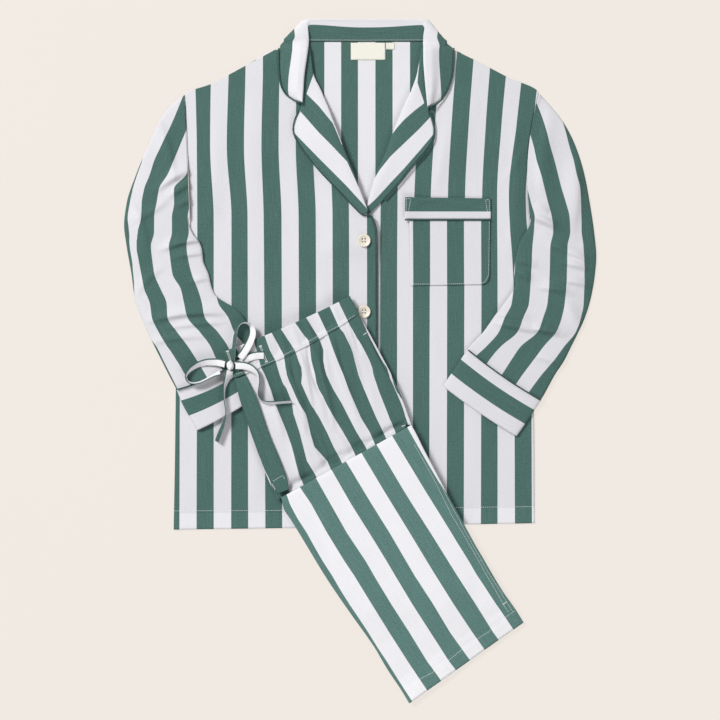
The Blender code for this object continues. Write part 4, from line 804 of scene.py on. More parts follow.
# --- Sleeves ---
# Each sleeve is a tube of the same poplin, sewn into the armhole and lying flat, with a few
# creases at the elbow and under the arm. Its lower half lies over the side of the body.
def tube_shares(edge, columns):
    """Places across a flat tube: close together at each edge, even between."""
    inner = np.linspace(edge[-1], 1.0 - edge[-1], columns)
    return np.concatenate([edge[:-1], inner, 1.0 - np.array(edge[:-1])[::-1]])


def flat_tube(x, y, low, high, middle, from_edge):
    """A ring of x, y and z: the upper side, then the under side, drawn together in a round
    edge where the place is less than 1 from it."""
    swell = np.sqrt(1.0 - (1.0 - np.clip(from_edge, 0.0, 1.0)) ** 2)
    upper, under = (middle + (side - middle) * swell for side in (high, low))
    return [np.column_stack([above, below[:, -2:0:-1]])
            for above, below in ((x, x), (y, y), (upper, under))]


def flattened(name, solid, outline, spacing, columns, uneven, folds=None, edges=None, first=0,
              thickness=CLOTH, softness=14):
    """A tube of cloth lying flat, with its first row of places. Its stripes run along it
    between a table's edges, or else round it."""
    shares = tube_shares((0.0, 0.003, 0.010, 0.022, 0.04), columns)
    x, y, along = grid_between(outline, spacing, shares)
    width = np.hypot(x[:, -1] - x[:, 0], y[:, -1] - y[:, 0])[:, None]
    low = read_heights(cover(), x, y) + SEAM_GAP
    high = np.maximum(shaped(solid, x, y, softness, folds, uneven), low + 3.0 * thickness)
    from_edge = np.minimum(shares, 1 - shares)[None, :] * width / ROUND_EDGE
    ring = flat_tube(x, y, low, high, low + EDGE_LEVEL * (high - low), from_edge)
    if edges is None:
        across, along = STRIPE + 8.0 + along, shares[None, :] * width
    else:
        across = stripes_across(x, y, edges, first)
    under = 2.0 * across[:, -1:] - across[:, ::-1]
    piece = sewn(name, solid, *ring, np.column_stack([across, under[:, 1:]]),
                 np.column_stack([along, along[:, 1:]]), jacket_cotton, thickness=thickness,
                 ring=True)
    return piece, np.stack(ring, axis=-1)[0, :len(shares)]


ROUND_EDGE = 3.2               # from a flat tube's edge to where it is at its full height, mm
EDGE_LEVEL = 0.45              # where its edges lie, as a share of its height
SLEEVE_RIGHT = table(
    (-247.5, 372, -240.6, 198, 0), (-262, 362, -241, 196.5, 2), (-280, 340, -241.5, 194, 4),
    (-299, 300, -241, 189, 5), (-316, 260, -238.5, 183, 4), (-329, 220, -234, 175, 2),
    (-332.5, 190, -228, 168, 0), (-329, 160, -222.8, 154, 0), (-325.5, 140, -221.5, 140, 0),
    (-322, 120, -214, 121, 0), (-319.5, 100, -209.5, 102, 0), (-316, 80, -203, 90, 0),
    (-308, 60, -190, 81, 0), (-299.5, 40, -178, 74, 1), (-290, 20, -166, 62.5, 3),
    (-280, 0, -159, 49.5, 5), (-270, -20, -153, 36, 7), (-258.6, -41.1, -147.2, 20.2, 8))
SLEEVE_RIGHT_EDGES = table(
    (-60, -247, -226, -197, -169, -146, -122), (-20, -267, -247, -218, -190, -166, -142),
    (0, -277, -258.5, -230, -202, -178, -154), (20, -287, -272, -243, -211, -187, -163),
    (40, -303, -284, -258, -226, -201, -178), (60, -312, -293, -271, -243, -219, -186),
    (80, -318, -296, -272.5, -248, -223, -200), (100, -318, -304, -281, -252.5, -229, -205),
    (120, -319, -308, -289.5, -264, -237, -212), (140, -321, -312, -292.5, -267, -242, -218),
    (160, -324, -315, -294.5, -269, -244.5, -220), (180, -325, -313, -290, -265, -241.5, -218),
    (200, -327, -308, -290, -265, -243, -219), (220, -324, -307.5, -286.5, -262, -240, -216),
    (240, -320, -304, -283, -262, -238, -214), (260, -314, -296.5, -271, -245, -221, -197),
    (280, -307, -290, -262.5, -238, -214, -190), (300, -303, -280.5, -254.5, -231, -207, -183),
    (340, -288, -262, -238, -214, -190, -166), (375, -272, -248, -224, -200, -176, -152))
SLEEVE_RIGHT_FOLDS = table(
    (-284, 240, -240, 266, 6.2, 8.1, 2), (-266, 231, -240, 248, 4.9, 5.4, 0),
    (-256, 216, -238, 226, 3.8, 4.5, 0), (-276, 156, -222, 168, 6.2, 7.2, 3),
    (-262, 143, -220, 150, 2.9, 5.4, 1), (-292, 56, -198, 66, 5.9, 8.1, 4),
    (-272, 44, -196, 52, 2.9, 5.4, 2), (-300, 150, -322, 222, 2.9, 9.9, -4),
    (-262, 250, -286, 338, 2.9, 10.8, -4), (-300, 22, -215, 34, 2.5, 7.2, 3),
    (-312, 96, -280, 128, 2.5, 8.1, 3), (-240, 108, -216, 114, 2.7, 5.4, 1),
    (-318, 196, -270, 226, 2.5, 8.1, -3))
sleeve_right, _ = flattened(
    "jacket_sleeve_right", "sleeve_right", SLEEVE_RIGHT, 2.2, 44, (41, 0.35, 55.0),
    SLEEVE_RIGHT_FOLDS, SLEEVE_RIGHT_EDGES, first=1)

SLEEVE_LEFT = table(
    (235.4, 201.5, 249, 374, -9), (236.4, 199, 262, 360, -6), (237.2, 196, 282, 335, -2),
    (236, 191, 300, 300, 2), (233, 184.5, 312.5, 260, 3), (228, 177, 320, 220, 2),
    (221, 164, 326, 180, 0), (216, 144, 329, 145, 0), (213.5, 122, 327, 120, 0),
    (215, 106, 324, 100, 0), (208, 92, 319.5, 80, 0), (198, 78, 313, 60, 0), (188, 65, 304, 40, 0),
    (178, 50.5, 294, 20, 0.3), (168, 37, 284, 0, 0.8), (158, 27.5, 271, -20, 1.8),
    (148.1, 15.4, 251.5, -56, 3))
SLEEVE_LEFT_EDGES = table(
    (-56, 115, 140, 168, 198, 226, 250), (-40, 127, 152, 181, 211, 237, 261),
    (-20, 141, 166, 196, 225, 252, 276), (0, 154, 178, 209, 240, 269, 293),
    (20, 175, 195, 223, 255, 284, 308), (40, 192, 218, 246, 272, 300, 324),
    (60, 200, 226, 254, 280, 307, 331), (80, 210, 234, 260, 284, 311, 335),
    (120, 214, 237, 263, 287, 312, 336), (160, 216, 239, 264, 288, 310.5, 334),
    (180, 217, 241, 268, 292, 308, 332), (200, 217, 242, 266, 291, 307.5, 331),
    (220, 212, 237, 261, 286, 307, 331), (240, 207, 232, 256, 280, 306, 330),
    (260, 202, 227, 251, 275, 301, 325), (280, 195, 221, 245, 270, 297, 321),
    (300, 190, 217, 241, 264, 291, 315), (320, 182, 208, 235, 259, 286, 310),
    (340, 176, 204, 229, 253, 280, 304), (375, 162, 190, 215, 239, 266, 290))
SLEEVE_LEFT_FOLDS = table(
    (238, 202, 272, 185, 7.5, 7.4, 1), (240, 214, 262, 206, 4.2, 7.4, 1),
    (286, 152, 316, 140, 5.5, 6.8, 1), (284, 136, 318, 127, 6, 6.8, 1),
    (280, 112, 318, 105, 5, 7.4, 1), (250, 102, 290, 94, 5, 8.1, 2), (190, 52, 236, 42, 6, 8.1, 1),
    (238, 45, 278, 37, 8.5, 8.8, 1), (186, 64, 236, 56, 4.2, 8.1, 2),
    (262, 340, 252, 240, 3.8, 13.5, -4), (296, 190, 300, 285, 3.8, 13.5, -4),
    (218, 124, 236, 110, 5, 6.8, 1), (214, 140, 246, 132, 3.8, 8.1, 1),
    (240, 6, 284, -8, 3.5, 9.5, 2), (284, 82, 308, 46, 3.8, 10.8, -2),
    (262, 160, 286, 154, 3.2, 8.1, 1))
sleeve_left, _ = flattened(
    "jacket_sleeve_left", "sleeve_left", SLEEVE_LEFT, 2.2, 44, (42, 0.35, 55.0),
    SLEEVE_LEFT_FOLDS, SLEEVE_LEFT_EDGES)

# --- Turned cuffs ---
# Deep cuffs of two thicknesses, cut across the stripes and sewn to the sleeves with a corded
# piping between.
CUFF_RIGHT = table(
    (-258.4, -41.5, -147, 19.8, 8), (-252, -58, -140, 3, 7), (-241, -78.5, -131, -16, 5),
    (-230, -98, -122, -34, 3))
CUFF_LEFT = table(
    (147.8, 15, 251.2, -56.4, 3), (136.5, -2, 240, -73, 3), (125, -19, 228.5, -89.5, 2.6),
    (114, -36, 217, -106, 2.2))
for side, outline, seed in (("right", CUFF_RIGHT, 43), ("left", CUFF_LEFT, 44)):
    cuff, seam = flattened(f"jacket_cuff_{side}", f"cuff_{side}", outline, 2.6, 34,
                           (seed, 0.3, 50.0), thickness=1.0, softness=8)
    corded(f"cuff_piping_{side}_cord", f"cuff_piping_{side}",
           moved_off(seam[2:-2] + (0.0, 0.0, 0.9), -0.6))

# --- Trousers: the layers inside ---
# The trousers are folded in half along their length and the legs folded back on themselves,
# so under the cloth that shows lie the flattened tubes of the legs. Their rounded edges show
# round the rim.
trouser_cotton = striped_poplin("trouser_cotton", (0.065, 0.138, 0.121), (0.725, 0.72, 0.75))
HIDDEN_LAYERS = table(
    (65.5, -475.5, 223, -366), (56, -456, 211.5, -348.5), (41, -429.5, 196, -325.5),
    (26, -403, 177.5, -296.5), (8, -379.5, 163.5, -271.5), (-5, -363, 155, -257.5),
    (-27, -330, 137, -224.5), (-48.5, -298.5, 119, -192), (-71.5, -259, 101.5, -158),
    (-94.5, -222.5, 82.5, -122.5), (-106, -205, 73, -102.5), (-109, -192.3, 68.5, -94.4),
    (-112.5, -187.5, 68.5, -90), (-133, -151.5, 62.5, -76), (-151, -102.5, 45.5, -35),
    (-167, -55, 25, 5.5), (-174.5, -24.5, 7.5, 40.5), (-188, 9.5, -19, 83.5))
LEG_STRIPES = 31.0             # how far the lower leg's stripes are turned, degrees
LEG_WIDTH = 190.0              # of the folded leg, mm
PLY_EDGE = 1.8                 # the round edge of one ply, mm
FOLD_HOLLOW = table((-115, -188, 65, -88, -6, 10, 0))
layers_top = top_of("hidden_layers", 6)
for ply, (inset, share) in enumerate(((1.6, 0.5), (0.4, 1.0))):
    shares = tube_shares((0.0, 0.002, 0.006, 0.012, 0.02), 24)
    shares = inset / LEG_WIDTH + shares * (1.0 - 2.0 * inset / LEG_WIDTH)
    x, y, along = grid_between(HIDDEN_LAYERS, 7.0, shares)
    wander = 0.5 * np.sin(along / 41.0 + 2.0 * ply) + 0.4 * np.sin(along / 17.0 + ply)
    x = x + wander * np.cos(math.radians(LEG_STRIPES))
    low = read_heights(cover(), x, y) + SEAM_GAP
    high = low + share * (read_heights(layers_top, x, y) - low + soft_folds(x, y, FOLD_HOLLOW))
    high = np.maximum(high, low + 3 * CLOTH)
    span = (shares - shares[0]) / (shares[-1] - shares[0])
    from_edge = np.minimum(span, 1 - span)[None, :] * LEG_WIDTH / PLY_EDGE
    ring = flat_tube(x, y, low, high, (low + high) / 2.0, from_edge)
    across = x * math.cos(math.radians(LEG_STRIPES)) + y * math.sin(math.radians(LEG_STRIPES))
    leg = sewn(f"trouser_inner_leg_{ply}", "hidden_layers", *ring,
               np.column_stack([across, across[:, -2::-1]]),
               np.column_stack([along, along[:, 1:]]), trouser_cotton, ring=True)

# --- Trousers: front of the upper part ---
# The leg hangs from the waistband in soft gathers, which open out towards the fold. A narrow
# fly placket runs down its left side, and the pocket is set into the side seam.
UPPER_LINES = (
    ((-172, 12), (-165, -12), (-161, -20), (-154, -40), (-146, -60), (-139, -80), (-130, -100),
     (-122.5, -120), (-113.8, -140), (-105, -160), (-102.3, -180)),
    ((-150, 28), (-140, -10), (-134.6, -20), (-126.5, -40), (-120.5, -60), (-112, -80),
     (-104, -100), (-97, -120), (-92, -140), (-87, -160)),
    ((-134, 32), (-128, 15), (-120, 0), (-114, -20), (-110.5, -30), (-103.6, -40),
     (-96.5, -58), (-95, -74), (-93, -80), (-86.5, -100), (-81.3, -120), (-76.5, -140),
     (-64.3, -160)),
    ((-124, 36), (-108, 7), (-107.4, 0), (-104.5, -20), (-101, -30), (-96, -40), (-87, -60),
     (-77.7, -74), (-76, -80), (-71.7, -100), (-66, -120), (-48, -140)),
    ((-112, 43), (-93, 14), (-88, 0), (-83.7, -10), (-83, -20), (-84.3, -32), (-80.8, -40),
     (-71.7, -60), (-58.7, -80), (-48.3, -100), (-39.3, -120), (-28.8, -140)),
    ((-92, 52), (-80, 35), (-73.4, 28), (-71.7, 18), (-70, 0), (-64.4, -20), (-63, -30),
     (-59.6, -40), (-53.5, -50), (-49.2, -60), (-38, -80), (-25.5, -100), (-14, -120)),
    ((-78, 61), (-58.7, 30), (-53, 15), (-53.5, 0), (-51.8, -10), (-49.2, -20), (-39.7, -40),
     (-27.6, -60), (-17.3, -80), (-7, -100), (5.5, -120)),
    ((-62, 68.5), (-46.6, 36), (-41.4, 20), (-33.7, 0), (-25, -20), (-18, -40), (-9.5, -60),
     (-0.9, -80), (11.5, -100), (20, -120)),
    ((-46, 78.5), (-31, 46), (-24, 38), (-15.5, 20), (-11.7, 10), (-9.5, 0), (-4.3, -20),
     (3.5, -40), (12, -60), (20.7, -80), (30.5, -100)),
    ((-34, 86), (-19, 54), (-7, 32), (0.9, 20), (11.2, 0), (15, -10), (16.7, -20),
     (23.3, -40), (31, -60), (38.8, -80), (47, -100)),
    ((-11, 92), (7, 60), (26, 20), (42, -18), (60, -60), (82, -100)))
LEG_UPPER = table(
    (-116, -195, 62, -98, 0), (-135, -152, 59.5, -78, 0), (-152.5, -103, 42.5, -34.5, 0),
    (-168.5, -55, 21.5, 6, 3), (-176.2, -24.8, -4.4, 63.2, 7), (-178.2, -19.2, -6.5, 67.2, 6.4))
GATHERS = table(
    (-142, -8, -112, -100, 2.9, 4.8, 2), (-117, -12, -99, -70, -4.2, 3, -2),
    (-109, -2, -78, -88, 3.5, 4.3, 3), (-99, 6, -86, -50, -3.2, 2.8, -2),
    (-86, 10, -70, -70, 4.2, 4.3, 2), (-76, 22, -58, -48, -4.5, 3, -3),
    (-70, 24, -40, -90, 3.8, 4.3, 3), (-57, 30, -48, -30, -4.2, 2.7, -2),
    (-50, 34, -8, -80, 3.2, 4.8, 2), (-37, 40, -22, -20, -2.6, 2.8, -1),
    (-28, 46, 4, -50, 2.9, 4.3, 2), (-16, 52, -2, 10, -2.2, 2.8, 0),
    (-96, -60, -70, -140, 2.6, 5.7, 2), (-60, -90, -40, -140, -1.9, 5.7, 0),
    (-112, -184, -66, -158, -6, 6, 0), (-58, -152, -20, -132, -9, 6.5, 0),
    (-14, -128, 12, -114, -7, 6, 0), (18, -110, 60, -88, -8, 5, 0),
    (-98, -120, -86, -172, 2.9, 4.8, 2), (-72, -104, -52, -150, 3.2, 5.7, -3),
    (-44, -96, -18, -134, 2.6, 5.7, 3))
x, y, along = grid_between(LEG_UPPER, 2.4, 92)
z = laid_over("leg_upper", x, y, softness=5, folds=GATHERS, uneven=(51, 0.25, 45.0))
across = along_lines(x, y, 24.0, UPPER_LINES)
leg_upper = sewn("trouser_leg_upper", "leg_upper",
                 *curled(x, y, z, across, along, 1.2, "left", "right"), trouser_cotton)

PLACKET = table(
    (-116, -186, -101.5, -180), (-122, -175.5, -102.5, -170), (-135, -152.5, -108.8, -150),
    (-152, -103, -129, -101), (-168, -56, -145.5, -53), (-175.8, -26, -161, -20.5))
x, y, along = grid_between(PLACKET, 3.0, 10)
z = laid_over("fly_placket", x, y, softness=4, over=CLOTH + 0.1)
across = np.linspace(1.5, 22.5, 11)[None, :] + 0.0 * x
placket = sewn("trouser_fly_placket", "fly_placket", x, y, z, across, along, trouser_cotton,
               thickness=0.5)

# --- Trousers: waistband ---
# A turned-down casing for the drawstring, lightly gathered over it and stitched at its foot.
WAISTBAND = table(
    (-176.4, -23.9, -4.2, 64.2, 7), (-183, -6, -10.5, 76.5, 5), (-190, 12, -17, 87.8, 3))
CASING_GATHERS = table(
    (-146, -6, -156, 24, 1.4, 4, 0), (-122, 1, -132, 31, 1.5, 3, 0),
    (-114, 8, -120, 36, -1.4, 2.2, 0), (-102, 10, -114, 40, 1.7, 3, 0),
    (-84, 18, -97, 48, 1.5, 3.5, 0), (-75, 24, -84, 54, -1.5, 2.2, 0),
    (-66, 29, -77, 58, 1.9, 3, 0), (-47, 38, -60, 66, 1.5, 3.5, 0),
    (-40, 42, -49, 72, -1.2, 2.2, 0), (-28, 48, -40, 76, 1.5, 3.5, 0))
x, y, along = grid_between(WAISTBAND, 2.0, 92)
z = laid_over("waistband", x, y, softness=4, folds=CASING_GATHERS, uneven=(52, 0.2, 40.0))
sewn_down = read_heights(cover(), x, y) + 0.5
z = sewn_down + (z - sewn_down) * np.clip(along / 6.0, 0.0, 1.0) ** 0.7
across = along_lines(x, y, 27.0, UPPER_LINES)
waistband = sewn("trouser_waistband", "waistband",
                 *curled(x, y, z, across, along, 1.5, "left", "right", "end"), trouser_cotton,
                 thickness=0.45)

SIDE_POCKET = table(
    (60.5, -89.5, 70.5, -90.5), (39, -34, 48, -32.5), (16, 10, 26, 10.5), (0.5, 40, 9.5, 41),
    (-10, 60.5, -3.5, 63))
SIDE_POCKET_LINES = (
    ((-19, 88), (-13, 76), (37, -13), (39.3, -20), (43.5, -40), (53.5, -60), (62, -80), (66, -92)),
    ((-17, 89), (-11, 77), (38.5, -12.5), (41, -20), (46.6, -40), (59.5, -60), (65.6, -80),
     (70, -92)))
x, y, along = grid_between(SIDE_POCKET, 3.0, 6)
z = read_heights(top_of("side_pocket_edge", 3), x, y)
side_pocket = sewn("trouser_side_pocket", "side_pocket_edge", x, y, z,
                   along_lines(x, y, 24.0, SIDE_POCKET_LINES), along, trouser_cotton, lay=False)

# --- Trousers: the leg folded back ---
# The lower part of the leg is folded over on top of the upper part and runs down past the
# jacket's hem to its own.
LEG_LOWER = table(
    (68, -478.8, 225.7, -367.5), (56.9, -460.5, 214.3, -349), (37.4, -431, 198, -326),
    (19.5, -400.5, 178.8, -294.5), (6.5, -381.5, 167.6, -275), (-8, -361, 156.8, -256.5),
    (-30, -329.5, 139, -224), (-50.5, -298.5, 121, -191.5), (-74, -259.5, 103.2, -157.5),
    (-96.5, -222.5, 84.2, -121.5), (-107.5, -205, 74.5, -101.5), (-110.2, -192.6, 69.5, -92.7))
LOWER_LINES = (
    ((-104, -188), (-100, -200), (-89.5, -220), (-76.5, -240), (-65.5, -260), (-54, -280),
     (-41, -300), (-29.5, -320), (-17, -340), (-3.5, -360), (9.5, -380), (21.7, -400),
     (35, -420), (47.3, -440), (60, -460), (71.5, -477.5)),
    ((-86, -176.5), (-70, -200), (-48, -240), (-23.5, -280), (-10, -300), (14.5, -340),
     (39, -380), (64.3, -420), (93, -463)),
    ((-64, -163), (-43.2, -200), (-20.6, -240), (6, -280), (17.4, -300), (41.5, -340),
     (67, -380), (91.3, -420), (112.6, -449.5)),
    ((-42, -152), (-14.5, -200), (10.8, -240), (35.3, -280), (47, -300), (71, -340),
     (96.6, -380), (122, -420), (133.5, -435)),
    ((-22, -140.5), (14, -200), (39, -240), (62.3, -280), (74, -300), (100, -340),
     (123.7, -380), (153.6, -422)),
    ((0, -129), (30.4, -180), (42.7, -200), (67.2, -240), (91.3, -280), (103.5, -300),
     (128.6, -340), (155, -380), (174.7, -408)),
    ((21, -117.5), (58, -180), (70.4, -200), (96, -240), (121, -280), (133.5, -300),
     (159.3, -340), (184, -380), (194.8, -395)),
    ((43, -105.5), (88, -180), (100.4, -200), (125, -240), (149.5, -280), (161, -300),
     (187.5, -340), (215, -380)),
    ((62, -90), (66.5, -98), (76.6, -116), (92.7, -144), (107.8, -169.6), (118, -183.6),
     (121.5, -187.5), (131, -197), (280, -380)))
LEG_LOWER_FOLDS = table(
    (-60, -205, 40, -395, 1.2, 18, 6), (30, -175, 130, -350, 1, 20, -6),
    (-80, -215, -40, -290, -1, 10, 3), (60, -330, 120, -410, 0.8, 16, 4),
    (-20, -185, 10, -240, 0.9, 12, -3), (90, -150, 110, -200, 0.7, 9, 2),
    (88, -136, 208, -342, -1, 2.4, 0), (72, -451, 219, -347, -0.8, 2.6, 0))
# A lighter copy of the trouser cloth: painted light, where the lower leg lies in brighter light.
lit_leg_cotton = striped_poplin("lit_leg_cotton", (0.104, 0.203, 0.184), (0.835, 0.83, 0.86), hem=35.5,
                            fuller=1.035)
x, y, along = grid_between(LEG_LOWER, 3.4, 72)
z = laid_over("leg_lower", x, y, softness=8, folds=LEG_LOWER_FOLDS, uneven=(53, 0.3, 60.0))
across = along_lines(x, y, LEG_STRIPES, LOWER_LINES)
leg_grid = curled(x, y, z, across, along, 2.4, "end")
leg_lower = sewn("trouser_leg_lower", "leg_lower", *curled(*leg_grid, 1.5, "left", "right"),
                 lit_leg_cotton)

# --- Drawstring ---
# A flat tape of the same cloth, folded so that one face is white and the other green. It
# comes out of a buttonhole in the casing and is tied in a bow, with two loops and two free
# ends that lie loose on the cloth.
# A lighter copy of the trouser cloth: painted light on the tape and its knot.
lit_tape_cotton = striped_poplin("lit_tape_cotton", (0.062, 0.132, 0.116), (0.88, 0.875, 0.90))
TAPE_WIDTH = 11.0              # mm
KNOT = np.array([-183.0, -7.0])
KNOT_HOLD = 15.0               # how far round it the knot lifts the tape, mm
KNOT_SIZE = np.array([4.9, 6.9, 5.0])      # from its middle to each side
KNOT_RISE = 7.2                # from what lies beneath to its middle
# Rows hold a place across the tape, in half widths, its height in mm, and which face it is on.
TAPE_SECTION = table(
    (1, 0.12, 0), (0.93, 0.42, 0), (0.5, 0.5, 0), (0, 0.55, 0), (-0.5, 0.5, 0), (-0.93, 0.42, 0),
    (-1, 0.12, 0), (-1, -0.12, 1), (-0.93, -0.42, 1), (-0.5, -0.5, 1), (0, -0.55, 1),
    (0.5, -0.5, 1), (0.93, -0.42, 1), (1, -0.12, 1))
drawstring_bed = cover(6)
knot_bed = float(read_heights(drawstring_bed, KNOT[:1], KNOT[1:])[0])


def taped(name, solid, route, green_edge):
    """One stretch of the tape, with its middle line in metres. Rows of its route hold x, y,
    lift and tilt; green shows along one edge of its white face."""
    knots = run_along(route)
    at = np.linspace(0.0, knots[-1], int(knots[-1] / 1.5) + 1)
    x, y, lift, tilt = smooth_through(knots, route, at).T
    near = np.exp(-(np.hypot(x - KNOT[0], y - KNOT[1]) / KNOT_HOLD) ** 2)
    bed = read_heights(drawstring_bed, x, y)
    middle = eased(np.stack([x, y, bed + (knot_bed - bed) * near + lift], axis=1), 6)
    beside, above = beside_and_above(middle)
    turn = np.radians(tilt)[:, None]
    wide = (beside * np.cos(turn) + above * np.sin(turn)) * TAPE_WIDTH / 2.0
    thick = above * np.cos(turn) - beside * np.sin(turn)
    across, rise, face = TAPE_SECTION.T
    from_edge = (1.0 - green_edge * across) * TAPE_WIDTH / 2.0
    around = np.where(face == 0, 0.5 * STRIPE, STRIPE - 2.0 + from_edge)
    tape = tube(name, solid, middle, wide, thick, (across, rise), at, around, lit_tape_cotton,
                "drawstring_tape")
    return tape, (middle + (*CENTRE, 0.0)) * MM


LOOP_UP = table(
    (-179, 0.3, 6.4, 62), (-178, 11, 7, 62), (-177.3, 22, 7.4, 60), (-176.5, 32, 7.4, 62),
    (-174.5, 42, 7.2, 72), (-170.5, 49.5, 7, 85), (-164.5, 53, 7, 95), (-158, 52, 7, 110),
    (-153.5, 47, 6.6, 130), (-152, 39, 6.2, 150), (-154, 30, 5.8, 160), (-158.5, 20, 5.6, 168),
    (-164, 11, 5.4, 176), (-170, 3.4, 5.2, 180))
LOOP_LEFT = table(
    (-190.2, -4.6, 7, -170), (-202, -2, 6.6, -160), (-213, -2, 6.2, -150), (-224, -4, 6, -138),
    (-234, -9, 6, -125), (-241.5, -15.5, 6, -110), (-245.5, -22.5, 6, -100), (-243, -29, 6, -100),
    (-235.5, -32, 6, -102), (-226, -30.5, 6, -104), (-216, -26, 5.8, -106),
    (-206, -20.5, 5.6, -112), (-197, -17, 6, -130))
TAIL_RIGHT = table(
    (-175.3, -6.5, 7.4, 180), (-165.5, -6.8, 7.2, 172), (-156.5, -9, 6.8, 160),
    (-149.5, -13.5, 6.4, 142), (-144.5, -20, 6.2, 118), (-142.5, -28, 5.9, 100),
    (-143.5, -37, 5.7, 98), (-144.8, -46, 5.5, 98), (-142, -53.5, 5.5, 102),
    (-135.5, -58, 5.3, 110), (-127, -59, 5.2, 114), (-117, -58.4, 5.2, 114),
    (-107, -57.6, 5.2, 114), (-97.5, -57, 5.2, 114))
TAIL_LEFT = table(
    (-184, -14, 4.6, -170), (-187, -24, 5.2, -140), (-190, -32, 5.5, -120),
    (-191.8, -41, 5.7, -104), (-191.8, -51, 5.7, -98), (-190.4, -61, 5.7, -96),
    (-189.4, -71, 5.7, -90), (-190.6, -81, 5.5, -78), (-194, -91, 5.2, -66),
    (-198.4, -102, 5, -60), (-202.5, -113, 5, -60))
STRAND_IN = table(
    (-136, 7.5, 0.7, 180), (-143, 7.5, 0.8, 180), (-150, 6.5, 1.3, 180), (-157, 4, 1.8, 180),
    (-164, 0.5, 2.3, 180), (-170, -2.5, 2.8, 180), (-175.9, -5.3, 3.2, 180))
strand, _ = taped("tape_strand", "drawstring_strand", STRAND_IN, -1.0)

# The knot: a soft lump of turned cloth, creased where the tape crosses over.
bpy.ops.mesh.primitive_uv_sphere_add(segments=28, ring_count=18, radius=1.0)
ball = bpy.context.object
knot_mesh = ball.data
bpy.data.objects.remove(ball)
spots = np.array([corner.co[:] for corner in knot_mesh.vertices])
around = np.arctan2(spots[:, 2], spots[:, 1])
crease = 1.0 + 0.07 * np.sin(3.0 * around + 5.0 * spots[:, 0])
crease -= 0.10 * np.exp(-((np.abs(spots[:, 0] + 0.1) - 0.5) / 0.12) ** 2)
spots[:, 1:] *= crease[:, None]
spots = spots * KNOT_SIZE + (*(KNOT + CENTRE), knot_bed + KNOT_RISE)
knot_mesh.vertices.foreach_set("co", (spots * MM).ravel())
knot_mesh.uv_layers[0].name = "cut"
cut = np.column_stack([STRIPE * (1.35 + 0.25 * np.sin(2.0 * around)) * MM, around * 0.006])
corners = [corner.vertex_index for corner in knot_mesh.loops]
knot_mesh.uv_layers["cut"].data.foreach_set("uv", cut[corners].ravel())
knot = new_piece("tape_knot", knot_mesh, lit_tape_cotton, "drawstring_knot")

for place, route, green_edge, length, far_end, parts in (
        ("loop_up", LOOP_UP, -1.0, 0.122, "object", (strand, knot)),
        ("loop_left", LOOP_LEFT, -1.0, 0.122, "object", ()),
        ("tail_right", TAIL_RIGHT, 1.0, 0.118, "bare", ()),
        ("tail_left", TAIL_LEFT, -1.0, 0.104, "bare", ())):
    tape, line = taped(f"tape_{place}", f"drawstring_{place}", route, green_edge)

# --- Buttons ---
# Four-hole buttons of cast resin, turned with a raised rim, sewn on with a cross of thread.
# Two of the four are hidden by the trousers.
button_resin = mottled(
    "button_resin", {"Roughness": 0.35, "Subsurface Weight": 0.08,
                     "Subsurface Radius": (0.002, 0.0015, 0.001)},
    {"Scale": 160.0, "Distortion": 1.5}, (0.76, 0.70, 0.58), (0.87, 0.81, 0.70))
thread_cotton = mottled("thread_cotton", {"Roughness": 0.7, "Sheen Weight": 0.1},
                        {"Scale": 900.0}, (0.74, 0.75, 0.74), (0.88, 0.89, 0.88))
BUTTON_RADIUS, BUTTON_THICK = 0.009, 0.003   # m
HOLE_RADIUS, HOLE_OFF = 0.0009, 0.0019       # m; a hole is off the middle both ways
bpy.ops.object.select_all(action="DESELECT")
bpy.ops.mesh.primitive_cylinder_add(vertices=48, radius=BUTTON_RADIUS, depth=BUTTON_THICK,
                                    location=(0.0, 0.0, BUTTON_THICK / 2.0))
blank = bpy.context.object
bpy.ops.object.transform_apply(location=True)
bpy.ops.object.mode_set(mode="EDIT")
shape = bmesh.from_edit_mesh(blank.data)
for face in shape.faces:                     # the top, to be dished inside a rim
    face.select_set(face.normal.z > 0.9)
bmesh.update_edit_mesh(blank.data)
bpy.ops.mesh.inset(thickness=0.0015)
bpy.ops.mesh.inset(thickness=0.0006)
bpy.ops.transform.translate(value=(0.0, 0.0, -0.0005))
bpy.ops.mesh.select_all(action="DESELECT")
bpy.ops.mesh.select_mode(type="EDGE")
shape = bmesh.from_edit_mesh(blank.data)
for line in shape.edges:                     # the outer edges, to be rounded
    ends = [corner.co for corner in line.verts]
    flat = abs(ends[0].z - ends[1].z) < 1e-6
    line.select_set(flat and all(math.hypot(end.x, end.y) > BUTTON_RADIUS - 1e-5 for end in ends))
bmesh.update_edit_mesh(blank.data)
bpy.ops.mesh.bevel(offset=0.0006, segments=3)
bpy.ops.object.mode_set(mode="OBJECT")
spares = [blank]
for way_x, way_y in ((1, 1), (1, -1), (-1, 1), (-1, -1)):
    bpy.ops.mesh.primitive_cylinder_add(vertices=16, radius=HOLE_RADIUS, depth=0.008,
                                        location=(way_x * HOLE_OFF, way_y * HOLE_OFF, 0.0))
    spares.append(bpy.context.object)
    hole = blank.modifiers.new("hole", "BOOLEAN")
    hole.operation = "DIFFERENCE"
    hole.object = spares[-1]
drilled = blank.evaluated_get(bpy.context.evaluated_depsgraph_get())
button_mesh = bpy.data.meshes.new_from_object(drilled)
button_mesh.materials.clear()
for spare in spares:
    bpy.data.objects.remove(spare, do_unlink=True)

shirt_buttons = []
for place in (1, 2, 3, 4):
    low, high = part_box(f"button_{place}")
    mesh = button_mesh.copy()
    mesh.transform(Matrix.Translation(((low.x + high.x) / 2.0, (low.y + high.y) / 2.0, low.z)))
    shirt_buttons.append(new_piece(f"shirt_button_{place}", mesh, button_resin,
                                   f"button_{place}"))

# --- Sewing ---
# Lock stitches in white cotton thread: along the hems, the neck, the pocket, the waistband,
# the seams and the placket, with short bar tacks where a seam is strained.
stitch_corners, stitch_faces = [], []


